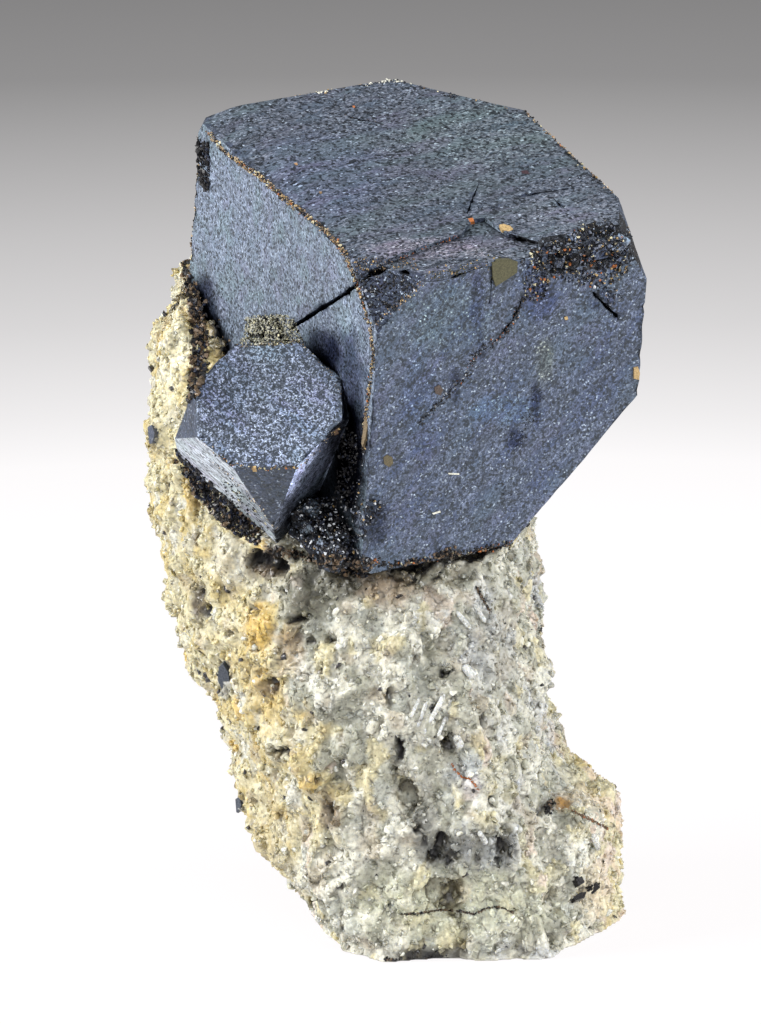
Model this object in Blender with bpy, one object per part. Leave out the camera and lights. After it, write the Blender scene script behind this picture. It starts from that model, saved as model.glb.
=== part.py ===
"""Two cafarsite crystals grown together, in a socket of a leaning column of sugary gneiss.

Metres, +Z up, +Y away from the viewer. The origin is on the flat cut under the foot of the rock.
All sizes below are in millimetres, and MM turns them into metres.
"""
import math
import random

import bmesh
import bpy
from mathutils import Euler, Matrix, Vector, noise

MM = 0.001
SOCKET_GAP = 0.3

# Large crystal: a block that hangs from its front-left-top corner, turned by three angles in degrees
LARGE_CORNER = (-4.4, -18.5, 54.2)
LARGE_TURN = (14.2, -3.7, 28.5)
LARGE_SIZE = (22.9, 28.5, 25.0)

# Its cut corners, (right, back, top) of the block, and how far along each edge the cut runs
LARGE_CUTS = (
    ((0, 0, 1), (3.6, 5.2, 4.3)),
    ((1, 0, 0), (10.1, 11.0, 10.7)),
    ((1, 1, 1), (7.5, 8.9, 7.9)),
    ((1, 0, 1), (2.6, 5.0, 4.4)),
    ((0, 1, 1), (0.8, 1.0, 1.7)),
    ((0, 0, 0), (0.9, 2.2, 1.2)),
    ((0, 1, 0), (7.5, 7.5, 7.5)),
    ((1, 1, 0), (7.5, 7.5, 7.5)),
    ((1, 1, 1), (21.5, 1.2, 1.3)),
    ((0, 1, 1), (3.5, 70.0, 0.65)),
)

# Small crystal: a block around its middle, with its most open face towards the viewer
SMALL_MIDDLE = (-12.6, -8.25, 40.4)
SMALL_TURN = (48.0, 32.5, -30.7)
SMALL_SIZE = (10.1, 10.6, 10.4)
SMALL_CUTS = (
    ((1, 0, 1), (3.4, 3.4, 6.7)),
    ((0, 0, 1), (3.0, 3.0, 6.0)),
    ((1, 1, 1), (2.4, 2.4, 4.8)),
    ((0, 1, 1), (3.4, 3.4, 6.8)),
)

# Growth step on the large crystal's top face: its outline in the block's x and y, and its depth
STEP_OUTLINE = (
    (-1.0, 2.2), (1.0, 2.9), (4.0, 3.5), (8.2, 4.4), (9.3, 4.6), (11.1, 6.2), (12.1, 6.0), (12.5, 3.4), (14.0, 1.2),
    (14.6, -1.0))
STEP_DEPTH = 0.35

# Etched stretch of the top front edge: from x to x on the block, and how far it bites in
NOTCH_SPAN = (13.2, 21.4)
NOTCH_BACK = 2.3
NOTCH_DOWN = 3.2

# Druse: each patch runs along a line, start to end in the large block's x, y, z, as a core of some
# half-thickness with a number of grains on it
DRUSE_PATCHES = {
    "between_below": ((-1.2, 1.6, -23.4), (-1.6, 7.6, -22.4), 1.2, 22),
    "above_small": ((-0.1, 13.8, -11.5), (-0.1, 17.0, -12.9), 0.5, 9),
    "etched_edge": ((13.8, 0.9, -1.3), (21.0, 0.9, -1.3), 0.7, 18),
}
GRAIN_SIZE = (0.8, 1.5)
DRUSE_SEED = 7

# Rock column: sections from the foot up. Each is its height, then eight points (x, y) around it:
# left, front left, front, front right, right, back right, back, back left
SECTIONS = (
    (0.0, (-9.9, 1.5), (-6.8, -10.4), (1.5, -12.0), (9.0, -9.6),
     (14.1, 0.8), (9.8, 11.2), (0.8, 12.8), (-8.2, 9.8)),
    (2.8, (-11.9, 2.2), (-8.6, -10.2), (0.8, -12.3), (9.2, -10.2),
     (14.3, 0.8), (10.2, 11.3), (0.0, 13.4), (-10.2, 10.6)),
    (6.2, (-14.4, 3.0), (-9.9, -9.8), (0.0, -12.4), (9.2, -10.5),
     (13.4, 0.8), (10.6, 11.3), (-0.8, 13.9), (-12.0, 11.3)),
    (9.6, (-15.4, 3.4), (-9.2, -10.2), (0.8, -12.4), (8.8, -10.5),
     (12.8, 0.8), (9.6, 11.6), (-1.1, 14.6), (-12.4, 12.0)),
    (11.6, (-15.6, 3.8), (-9.2, -10.5), (0.6, -12.0), (7.0, -10.3),
     (9.7, 0.8), (7.9, 12.0), (-1.5, 15.0), (-12.8, 12.8)),
    (16.6, (-17.8, 4.5), (-10.9, -9.8), (-0.8, -11.6), (5.0, -9.6),
     (8.4, 0.8), (6.1, 12.8), (-3.0, 16.5), (-15.0, 14.2)),
    (24.9, (-20.2, 4.5), (-12.6, -8.6), (-2.3, -10.3), (4.6, -7.6),
     (6.8, 1.5), (6.4, 13.5), (-3.8, 18.8), (-17.2, 15.8)),
    (30.0, (-21.1, 4.5), (-14.4, -5.8), (-4.5, -8.0), (4.2, -5.2),
     (6.5, 2.2), (6.0, 15.0), (-4.5, 20.2), (-18.2, 17.2)),
    (35.2, (-21.8, 5.2), (-17.6, -1.2), (-5.5, -1.5), (4.0, 0.5),
     (6.2, 4.5), (5.6, 16.2), (-4.6, 21.4), (-18.6, 18.8)),
    (38.6, (-22.0, 6.0), (-18.6, 0.6), (-6.5, 1.5), (2.6, 4.0),
     (4.4, 8.5), (4.2, 20.5), (-4.9, 23.0), (-19.0, 19.6)),
    (42.0, (-21.3, 6.8), (-19.0, 2.6), (-7.5, 4.5), (0.5, 8.0),
     (2.0, 12.0), (1.2, 23.4), (-5.5, 24.6), (-19.0, 20.4)),
    (46.0, (-20.0, 8.6), (-18.8, 5.6), (-9.0, 8.5), (-2.0, 12.2),
     (-0.4, 16.0), (-1.0, 22.4), (-7.0, 24.6), (-18.0, 21.8)),
    (48.2, (-18.9, 10.6), (-18.0, 8.6), (-11.0, 9.5), (-4.0, 13.4),
     (-1.6, 17.6), (-4.0, 22.6), (-9.0, 24.0), (-16.2, 21.4)),
    (49.6, (-17.6, 12.5), (-16.8, 11.0), (-12.5, 14.5), (-8.0, 17.0),
     (-6.5, 19.0), (-8.0, 21.2), (-11.0, 22.0), (-15.5, 20.0)),
)
RING_SPACING = 1.1
RING_POINTS = 66

# The rock's lumps: how far each size of lump stands out, and how wide it is
LUMPS = ((1.0, 5.5), (0.5, 2.4))
KNOB_SIZE = 2.9
KNOB_STANDS_OUT = 1.5

# The bedding ledge near the foot: its height and how far the rock under it is set back
LEDGE_HEIGHT = 4.4
LEDGE_DEPTH = 0.5

# Pits and crevices in the rock's face: middle x and z, half-width, half-height, depth
PITS = (
    (0.2, 5.0, 1.9, 1.6, 1.6),
    (-2.7, 13.0, 0.8, 1.6, 1.3),
    (4.8, 5.0, 0.8, 1.6, 1.1),
    (0.6, 17.6, 0.9, 1.4, 1.0),
    (-8.2, 7.6, 1.0, 1.6, 0.9),
    (-12.6, 27.4, 1.8, 1.0, 1.3),
    (-10.6, 23.4, 0.9, 1.4, 1.1),
    (-12.4, 12.6, 0.8, 1.0, 0.9),
    (8.4, 8.4, 0.8, 1.3, 1.0),
)


def clear_scene():
    for item in list(bpy.data.objects):
        bpy.data.objects.remove(item, do_unlink=True)


def mm(values):
    return Vector(values) * MM


def placement(location, turn_degrees):
    turn = Euler([math.radians(angle) for angle in turn_degrees], "XYZ")
    return Matrix.Translation(mm(location)) @ turn.to_matrix().to_4x4()


def material(name, colour, roughness):
    made = bpy.data.materials.new(name)
    made.use_nodes = True
    shader = made.node_tree.nodes["Principled BSDF"]
    shader.inputs["Base Color"].default_value = (*colour, 1.0)
    shader.inputs["Roughness"].default_value = roughness
    shader.inputs["Metallic"].default_value = 0.0
    return made


def add_object(name, body, matrix=Matrix.Identity(4)):
    """Turn a bmesh into an object of the scene, and free the bmesh."""
    bmesh.ops.recalc_face_normals(body, faces=body.faces[:])
    mesh = bpy.data.meshes.new(name)
    body.to_mesh(mesh)
    body.free()
    made = bpy.data.objects.new(name, mesh)
    made.matrix_world = matrix
    bpy.context.scene.collection.objects.link(made)
    return made


def as_tool(item):
    """A body that only cuts or joins another: it isn't part of the model by itself."""
    item.hide_render = True
    item.display_type = "WIRE"
    return item


def combine(target, tool, operation):
    change = target.modifiers.new(tool.name, "BOOLEAN")
    change.operation = operation
    change.object = tool
    change.solver = "EXACT"
    change.use_self = True


def block_planes(low, high, cuts, grow):
    """The outward planes of a block with cut corners, all moved out by grow."""
    corner_of = (low, high)
    planes = []
    for axis in range(3):
        for side, corner in enumerate(corner_of):
            normal = Vector((0, 0, 0))
            normal[axis] = 1 if side else -1
            planes.append((Vector(corner) + normal * grow, normal))
    for sides, lengths in cuts:
        corner = Vector([corner_of[side][axis] for axis, side in enumerate(sides)])
        normal = Vector([(1 if side else -1) / length for side, length in zip(sides, lengths)]).normalized()
        inward = Vector((-lengths[0] if sides[0] else lengths[0], 0, 0))
        planes.append((corner + inward + normal * grow, normal))
    return planes


def cut_block(low, high, cuts, grow=0.0):
    """A closed crystal with flat faces: a cube sliced by the block's planes, each slice filled."""
    body = bmesh.new()
    bmesh.ops.create_cube(body, size=200 * MM)
    for point, normal in block_planes(low, high, cuts, grow):
        everything = body.verts[:] + body.edges[:] + body.faces[:]
        sliced = bmesh.ops.bisect_plane(
            body, geom=everything, dist=1e-7, plane_co=mm(point), plane_no=normal, clear_outer=True)
        rim = [item for item in sliced["geom_cut"] if isinstance(item, bmesh.types.BMEdge)]
        bmesh.ops.contextual_create(body, geom=rim)
    return body


def large_block(grow=0.0):
    width, depth, height = LARGE_SIZE
    return cut_block((0, 0, -height), (width, depth, 0), LARGE_CUTS, grow)


def small_block(grow=0.0):
    half = Vector(SMALL_SIZE) / 2
    return cut_block(-half, half, SMALL_CUTS, grow)


def growth_step():
    """A thin slab that takes the sunken layer off the top face: it tilts down to the front edge."""
    body = bmesh.new()
    rings = []
    for height in (-STEP_DEPTH, 2.0):
        rings.append([body.verts.new(mm((x, y, height))) for x, y in STEP_OUTLINE])
    body.faces.new(rings[0])
    body.faces.new(rings[1])
    count = len(STEP_OUTLINE)
    for i in range(count):
        j = (i + 1) % count
        body.faces.new((rings[0][i], rings[0][j], rings[1][j], rings[1][i]))
    return body


def edge_notch():
    """A rough wedge along the top front edge, from NOTCH_SPAN's start to its end."""
    body = bmesh.new()
    start, end = NOTCH_SPAN
    count = 7
    rings = []
    for i in range(count):
        x = start + (end - start) * i / (count - 1)
        bite = 0.75 + 0.35 * noise.noise(Vector((x, 0.0, 3.0)))
        if i in (0, count - 1):
            bite = 0.35
        back = NOTCH_BACK * bite
        down = NOTCH_DOWN * bite
        corners = ((x, -2.0, -down), (x, 0.0, -down), (x, back, 0.0), (x, back, 2.0), (x, -2.0, 2.0))
        rings.append([body.verts.new(mm(corner)) for corner in corners])
    body.faces.new(rings[0])
    body.faces.new(rings[-1])
    for near, far in zip(rings, rings[1:]):
        for i in range(len(near)):
            j = (i + 1) % len(near)
            body.faces.new((near[i], near[j], far[j], far[i]))
    return body


def druse(grow=0.0):
    """Cores with small cubes on them, each turned its own way, that overlap and bite into the crystals."""
    rng = random.Random(DRUSE_SEED)
    body = bmesh.new()
    for start, end, half, count in DRUSE_PATCHES.values():
        run = Vector(end) - Vector(start)
        along = run.to_track_quat("X", "Z").to_matrix().to_4x4()
        shape = Matrix.Diagonal((run.length + 2 * grow, 2 * (half + grow), 2 * (half + grow), 1))
        middle = Matrix.Translation(mm(start) + mm(run) / 2)
        bmesh.ops.create_cube(body, size=MM, matrix=middle @ along @ shape)
        for _ in range(count):
            aside = Vector([rng.uniform(-1, 1) for _ in range(3)]).normalized() * half
            place = Vector(start) + run * rng.random() + aside
            turn = Euler([rng.uniform(0, 1.5) for _ in range(3)]).to_matrix().to_4x4()
            size = rng.uniform(*GRAIN_SIZE) + 2 * grow
            bmesh.ops.create_cube(body, size=size * MM, matrix=Matrix.Translation(place * MM) @ turn)
    return body


def crystals():
    """The large and the small crystal and their druse, joined in one solid."""
    large_place = placement(LARGE_CORNER, LARGE_TURN)
    small_place = placement(SMALL_MIDDLE, SMALL_TURN)
    pair = add_object("cafarsite_crystals", large_block(), large_place)
    combine(pair, as_tool(add_object("growth_step", growth_step(), large_place)), "DIFFERENCE")
    combine(pair, as_tool(add_object("edge_notch", edge_notch(), large_place)), "DIFFERENCE")
    combine(pair, as_tool(add_object("small_block", small_block(), small_place)), "UNION")
    combine(pair, as_tool(add_object("druse", druse(), large_place)), "UNION")
    pair.data.materials.append(material("cafarsite", (0.09, 0.12, 0.19), 0.42))
    return pair


def section_at(height):
    """The eight points of the rock's section at a height, read between the two nearest sections."""
    for lower, upper in zip(SECTIONS, SECTIONS[1:]):
        if height <= upper[0]:
            break
    share = (height - lower[0]) / (upper[0] - lower[0])
    return [Vector(a).lerp(Vector(b), share) for a, b in zip(lower[1:], upper[1:])]


def around(points, share):
    """A point on the closed smooth curve through the section's points."""
    count = len(points)
    step = share * count
    i = int(step) % count
    t = step - int(step)
    p0, p1, p2, p3 = (points[(i + k) % count] for k in (-1, 0, 1, 2))
    bend = 2 * p1 + (p2 - p0) * t + (2 * p0 - 5 * p1 + 4 * p2 - p3) * t ** 2
    return (bend + (3 * p1 - 3 * p2 + p3 - p0) * t ** 3) / 2


def pit_depth(place):
    """How deep the pits are at a place on the front of the rock."""
    if place.y > 0:
        return 0.0
    depth = 0.0
    for x, z, half_width, half_height, deepest in PITS:
        away = ((place.x - x) / half_width) ** 2 + ((place.z - z) / half_height) ** 2
        depth = max(depth, deepest * max(0.0, 1.0 - away) ** 0.5)
    return depth


def lump(place):
    """How far the rock stands out at a place: lumps, rounded knobs and the ledge, less the pits."""
    height = 0.0
    for i, (stands_out, width) in enumerate(LUMPS):
        height += stands_out * noise.noise(place / width + Vector((11.3 * i, 4.7, 2.9)))
    nearest = noise.voronoi(place / KNOB_SIZE)[0][0]
    height += KNOB_STANDS_OUT * (0.5 - nearest)
    if place.z < LEDGE_HEIGHT + 0.5 * noise.noise(Vector((place.x / 4, 0.0, 0.0))):
        height -= LEDGE_DEPTH
    return height - pit_depth(place)


def rock_column():
    """Rings of points up the leaning column, closed by a flat foot and a low top."""
    body = bmesh.new()
    top = SECTIONS[-1][0]
    ring_count = round(top / RING_SPACING)
    rings = []
    for k in range(ring_count + 1):
        height = top * k / ring_count
        points = section_at(height)
        middle = sum(points, Vector((0, 0))) / len(points)
        ring = []
        for i in range(RING_POINTS):
            flat = around(points, i / RING_POINTS)
            place = Vector((flat.x, flat.y, height))
            outward = (flat - middle).normalized()
            stands_out = lump(place)
            rise = 0.5 * min(1.0, height / 3) * noise.noise(place / 2.1 + Vector((5.0, 31.0, 8.0)))
            moved = place + Vector((outward.x * stands_out, outward.y * stands_out, rise))
            ring.append(body.verts.new(moved * MM))
        rings.append(ring)
    for lower, upper in zip(rings, rings[1:]):
        for i in range(RING_POINTS):
            j = (i + 1) % RING_POINTS
            body.faces.new((lower[i], lower[j], upper[j], upper[i]))
    body.faces.new(rings[0])
    peak = sum((vert.co for vert in rings[-1]), Vector((0, 0, 0))) / RING_POINTS + Vector((0, 0, 0.8 * MM))
    summit = body.verts.new(peak)
    for i in range(RING_POINTS):
        body.faces.new((rings[-1][i], rings[-1][(i + 1) % RING_POINTS], summit))
    return body


def matrix_rock():
    """The column with a socket that the crystals sit in, a small gap wider than they are."""
    rock = add_object("gneiss_matrix", rock_column())
    large_place = placement(LARGE_CORNER, LARGE_TURN)
    large = add_object("socket_large", large_block(SOCKET_GAP), large_place)
    small = add_object("socket_small", small_block(SOCKET_GAP), placement(SMALL_MIDDLE, SMALL_TURN))
    grains = add_object("socket_druse", druse(SOCKET_GAP), large_place)
    for socket in (large, small, grains):
        combine(rock, as_tool(socket), "DIFFERENCE")
    rock.data.materials.append(material("gneiss", (0.72, 0.69, 0.60), 0.6))
    return rock


def build():
    clear_scene()
    crystals()
    matrix_rock()


build()
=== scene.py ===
"""Looks of a cafarsite specimen: blue-black crystals with cracks, flakes and druse on sugary gneiss."""
import math
import random

import bmesh
import bpy
import numpy as np
from mathutils import Euler, Matrix, Vector, noise
from mathutils.bvhtree import BVHTree


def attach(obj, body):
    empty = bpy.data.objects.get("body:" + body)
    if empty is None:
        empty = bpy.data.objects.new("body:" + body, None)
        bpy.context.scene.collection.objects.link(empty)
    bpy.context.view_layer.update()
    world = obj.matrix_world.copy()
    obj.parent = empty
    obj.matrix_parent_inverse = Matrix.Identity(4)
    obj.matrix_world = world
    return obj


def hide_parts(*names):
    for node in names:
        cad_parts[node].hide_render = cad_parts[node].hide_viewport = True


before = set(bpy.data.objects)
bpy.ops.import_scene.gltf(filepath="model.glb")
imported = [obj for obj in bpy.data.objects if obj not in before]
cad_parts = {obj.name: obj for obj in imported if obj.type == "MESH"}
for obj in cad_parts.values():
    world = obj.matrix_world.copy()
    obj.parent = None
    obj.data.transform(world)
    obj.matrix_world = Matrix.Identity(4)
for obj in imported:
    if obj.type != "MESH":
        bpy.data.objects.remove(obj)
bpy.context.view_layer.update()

MM = 0.001

# Camera: it looks along +Y from 15 degrees above the floor, from far off
PHOTO_WIDTH = 761
PHOTO_HEIGHT = 1024
PIXEL = 0.075 * MM
ELEVATION = math.radians(15)
DISTANCE = 2.0
TARGET = Vector((-4.46, 0, 31.7)) * MM
SENSOR = 36
TO_CAMERA = Vector((0, -math.cos(ELEVATION), math.sin(ELEVATION)))
IMAGE_UP = Vector((0, math.sin(ELEVATION), math.cos(ELEVATION)))

# Large crystal: its front-left-top corner, its turn, and its edges to the right, back and down
LARGE_CORNER = Vector((-4.4, -18.5, 54.2)) * MM
LARGE_TURN = Euler([math.radians(angle) for angle in (14.2, -3.7, 28.5)])
LARGE_SIZE = (22.9, 28.5, 25.0)
RIGHT, BACK, UP = (LARGE_TURN.to_matrix().col[axis] for axis in range(3))

# Small crystal: its turn and its own directions
SMALL_TURN = Euler([math.radians(angle) for angle in (48.0, 32.5, -30.7)])
SMALL_X, SMALL_Y, SMALL_Z = (SMALL_TURN.to_matrix().col[axis] for axis in range(3))

# Crystal surface: spacing of the fine grid, bevel of the edges, and from what length and bend in degrees an
# edge gets one, then height and width of the waves, the grain and the chips on edges
GRID = 0.42 * MM
EDGE_BEVEL = 0.10 * MM
LONG_EDGE = 2.5 * MM
BENT_EDGE = 20
WAVE = (0.07 * MM, 5.0 * MM)
GRAIN_RELIEF = (0.022 * MM, 0.55 * MM)
EDGE_CHIPS = (0.13 * MM, 0.8 * MM)

# Rock surface: voxel size, the height and width of each size of lump, how far apart in the noise the sizes
# lie, how tall the lumps are for their width, and the height below which the foot stays flat
ROCK_VOXEL = 0.33 * MM
ROCK_LUMPS = ((0.70 * MM, 3.1 * MM), (0.50 * MM, 1.35 * MM), (0.14 * MM, 0.6 * MM))
LUMP_SHIFT = 3.1
LUMP_FORM = (1, 1, 0.75)
FOOT_EDGE = 0.25 * MM
NOISE_SEED = 5

# What turns the middle of a lump into a number that looks random
HASH_WAY = (12.9898, 78.233, 37.719)
HASH_SCALE = 43758.5453

# Rock grains: how many, their smallest and largest radius, the shares that are pale or black, how far they
# stay above the floor, and how deep in mm a pit has none
GRAIN_COUNT = 27000
GRAIN_RADIUS = (0.12 * MM, 0.42 * MM)
PALE_SHARE = 0.05
BLACK_SHARE = 0.014
GRAIN_LIFT = 0.12 * MM
BARE_DEPTH = 0.75

# Kinds of rock grains: name, clearness, roughness, and the angle in degrees from which an edge is sharp
GRAIN_KINDS = (
    ("gneiss_grains", 0.0, 0.34, 90),
    ("gneiss_milky_grains", 0.15, 0.28, 76),
    ("gneiss_glassy_grains", 0.4, 0.22, 62),
)

# Every stone's unevenness: its axes differ from its size by up to this share
UNEVEN = 0.35

# How far off another surface still darkens the rock with painted shade, and then the crystals, and how far
# off the rock is still looked for at the crystals' foot, where painted shade also falls
ROCK_SHADE_REACH = 3.0 * MM
SHADE_REACH = 8.0 * MM
CONTACT_REACH = 3.0 * MM

# Cracks: how far they start above the face and how far they wander sideways, in mm, the limits of their
# uneven width, and how much of it and of their depth is left at their ends
CRACK_LIFT = 0.12
CRACK_WANDER = 0.06
CRACK_UNEVEN = (0.7, 1.2)
CRACK_END = 0.35

# Cracks in the crystals, as photo pixels: width and depth in mm, then the points of the line
CRACKS = (
    (0.38, 1.0, ((288, 331), (296, 324), (303, 320), (314, 314), (322, 307), (330, 303), (343, 294),
     (351, 290), (358, 284.5), (366, 278))),
    (0.62, 1.3, ((364, 279), (370, 274), (378, 270.5), (390, 268), (402, 269.5), (410, 273))),
    (0.16, 0.5, ((493, 268), (492, 281), (489.5, 304))),
    (0.34, 0.9, ((592, 292), (604, 304), (618, 317))),
    (0.16, 0.4, ((479, 184), (472, 202), (467, 214))),
    (0.16, 0.4, ((324, 111), (333, 113.5))),
    (0.14, 0.4, ((346, 115), (360, 119), (376, 122))),
    (0.12, 0.3, ((553, 198), (557, 202), (564, 207))),
    (0.12, 0.3, ((520, 195), (536, 193), (556, 190), (577, 187))),
    (0.10, 0.25, ((492, 208), (506, 205), (514, 203))),
    (0.20, 0.5, ((509, 236), (520, 240), (537, 245))),
    (0.14, 0.4, ((424, 283), (440, 280), (456, 276), (474, 270), (488, 266))),
    (0.10, 0.3, ((522, 302), (519, 309), (513, 321), (505, 331), (498, 340))),
    (0.10, 0.3, ((498, 340), (486, 349), (474, 354), (470, 364), (468, 375))),
    (0.10, 0.3, ((466, 378), (453, 388), (439, 403), (428, 414), (418, 424))),
)

# Colours, as linear red, green and blue
CREAM = (0.61, 0.56, 0.37)
STRAW = (0.56, 0.47, 0.24)
HONEY = (0.60, 0.45, 0.18)
SUGAR = (0.65, 0.64, 0.55)
GREY_GREEN = (0.38, 0.38, 0.31)
BLUISH = (0.50, 0.52, 0.54)
TAN = (0.65, 0.54, 0.40)
PINK = (0.66, 0.56, 0.47)
BROWN = (0.16, 0.11, 0.07)
# SHADE is the colour of painted shade under the crystals and in pits
SHADE = (0.15, 0.145, 0.115)
BLACK = (0.012, 0.011, 0.012)
INK = (0.02, 0.025, 0.045)
RUST = (0.38, 0.13, 0.04)
OCHRE = (0.43, 0.30, 0.14)
OLIVE = (0.085, 0.080, 0.042)
STEEL = (0.17, 0.19, 0.24)


def camera_point():
    return TARGET + TO_CAMERA * DISTANCE


def through(pixel):
    """The camera's ray through a photo pixel, as a start and a direction."""
    x = (pixel[0] - PHOTO_WIDTH / 2) * PIXEL
    y = (PHOTO_HEIGHT / 2 - pixel[1]) * PIXEL
    aim = TARGET + Vector((x, 0, 0)) + IMAGE_UP * y
    start = camera_point()
    return start, (aim - start).normalized()


def make_camera():
    camera = bpy.data.cameras.new("camera")
    camera.sensor_width = SENSOR
    camera.lens = SENSOR * DISTANCE / (PHOTO_HEIGHT * PIXEL)
    camera.clip_start = 0.05
    camera.clip_end = 20
    holder = bpy.data.objects.new("camera", camera)
    holder.location = camera_point()
    holder.rotation_euler = (math.pi / 2 - ELEVATION, 0, 0)
    bpy.context.scene.collection.objects.link(holder)
    bpy.context.scene.camera = holder


def as_object(name, mesh):
    made = bpy.data.objects.new(name, mesh)
    bpy.context.scene.collection.objects.link(made)
    return made


def evaluated_mesh(item):
    """The item's mesh with its modifiers applied. The item itself is removed."""
    bpy.context.view_layer.update()
    graph = bpy.context.evaluated_depsgraph_get()
    mesh = bpy.data.meshes.new_from_object(item.evaluated_get(graph))
    bpy.data.objects.remove(item, do_unlink=True)
    return mesh


def tree_of(*meshes):
    """One search tree over the faces of some meshes."""
    points, faces = [], []
    for mesh in meshes:
        first = len(points)
        points += [vert.co.copy() for vert in mesh.vertices]
        faces += [[first + i for i in face.vertices] for face in mesh.polygons]
    return BVHTree.FromPolygons(points, faces)


def noise_at(points, size, shift):
    """Smooth noise from -1 to 1 at each point."""
    offset = Vector((shift, 3.7 * shift, 1.3 * shift))
    return np.array([noise.noise(Vector(point) / size + offset) for point in points])


def lumps_at(points, size, shift):
    """Rounded lumps, one to a cell: 1 in the middle, 0 at the rim, and a number from 0 to 1 for each lump."""
    noise.seed_set(NOISE_SEED)
    offset = Vector((shift, 1.9 * shift, 5.1 * shift))
    heights, middles = [], []
    for point in points:
        place = Vector(point) / size + offset
        near, places = noise.voronoi(place + 0.45 * noise.noise_vector(place * 0.8))
        heights.append(0.6 * min(1.0, 2.4 * (near[1] - near[0])) + 0.4 * max(0.0, 1 - near[0] ** 2))
        middles.append(places[0][:])
    share = np.sin(np.array(middles) @ HASH_WAY) * HASH_SCALE
    return np.array(heights), share % 1


def distances(points, tree, reach=1.0):
    """The distance from each point to a surface, or reach where it is farther."""
    found = [tree.find_nearest(Vector(point), reach)[3] for point in points]
    return np.array([reach if far is None else far for far in found])


def nearest_hit(trees, pixel):
    """Where the ray through a pixel first meets a surface."""
    hits = [hit for hit in (tree.ray_cast(*through(pixel)) for tree in trees) if hit[0]]
    return min(hits, key=lambda hit: hit[3]) if hits else None


def openness(points, normals, trees, reach, rays=14):
    """The share of directions in which each point sees no surface within reach."""
    rng = np.random.default_rng(2)
    ways = rng.normal(size=(rays, 3))
    ways /= np.linalg.norm(ways, axis=1)[:, None]
    found = np.zeros(len(points))
    for i, (point, normal) in enumerate(zip(points, normals)):
        start = Vector(point + normal * 0.06 * MM)
        for way in ways:
            aim = way * 0.95 + normal
            hit = any(tree.ray_cast(start, Vector(aim), reach)[0] for tree in trees)
            found[i] += not hit
    return found / rays


def smooth(low, high, value):
    share = np.clip((value - low) / (high - low), 0, 1)
    return share * share * (3 - 2 * share)


def coordinates(mesh):
    flat = np.empty(len(mesh.vertices) * 3, np.float32)
    mesh.vertices.foreach_get("co", flat)
    return flat.reshape(-1, 3).astype(float)


def set_coordinates(mesh, points):
    mesh.vertices.foreach_set("co", points.astype(np.float32).ravel())
    mesh.update()


def point_normals(mesh):
    flat = np.empty(len(mesh.vertices) * 3, np.float32)
    mesh.vertex_normals.foreach_get("vector", flat)
    return flat.reshape(-1, 3).astype(float)


def set_tint(mesh, colours):
    layer = mesh.attributes.new("tint", "FLOAT_COLOR", "POINT")
    full = np.ones((len(colours), 4), np.float32)
    full[:, :3] = colours
    layer.data.foreach_set("color", full.ravel())


def skin(body, rings):
    """Adds the walls between neighbouring rings of points, and a face at each end."""
    body.faces.new(rings[0])
    body.faces.new(rings[-1][::-1])
    for near, far in zip(rings, rings[1:]):
        for k in range(len(near)):
            j = (k + 1) % len(near)
            body.faces.new((near[k], near[j], far[j], far[k]))


def closed_mesh(name, body):
    """A mesh of closed bodies with their faces turned outward."""
    bmesh.ops.recalc_face_normals(body, faces=body.faces[:])
    mesh = bpy.data.meshes.new(name)
    body.to_mesh(mesh)
    body.free()
    return mesh


def finished(name, mesh, material):
    """The mesh as a piece of the part, with its material."""
    piece = as_object(name, mesh)
    mesh.materials.append(material)
    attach(piece, "root")
    return piece


# Materials

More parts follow.
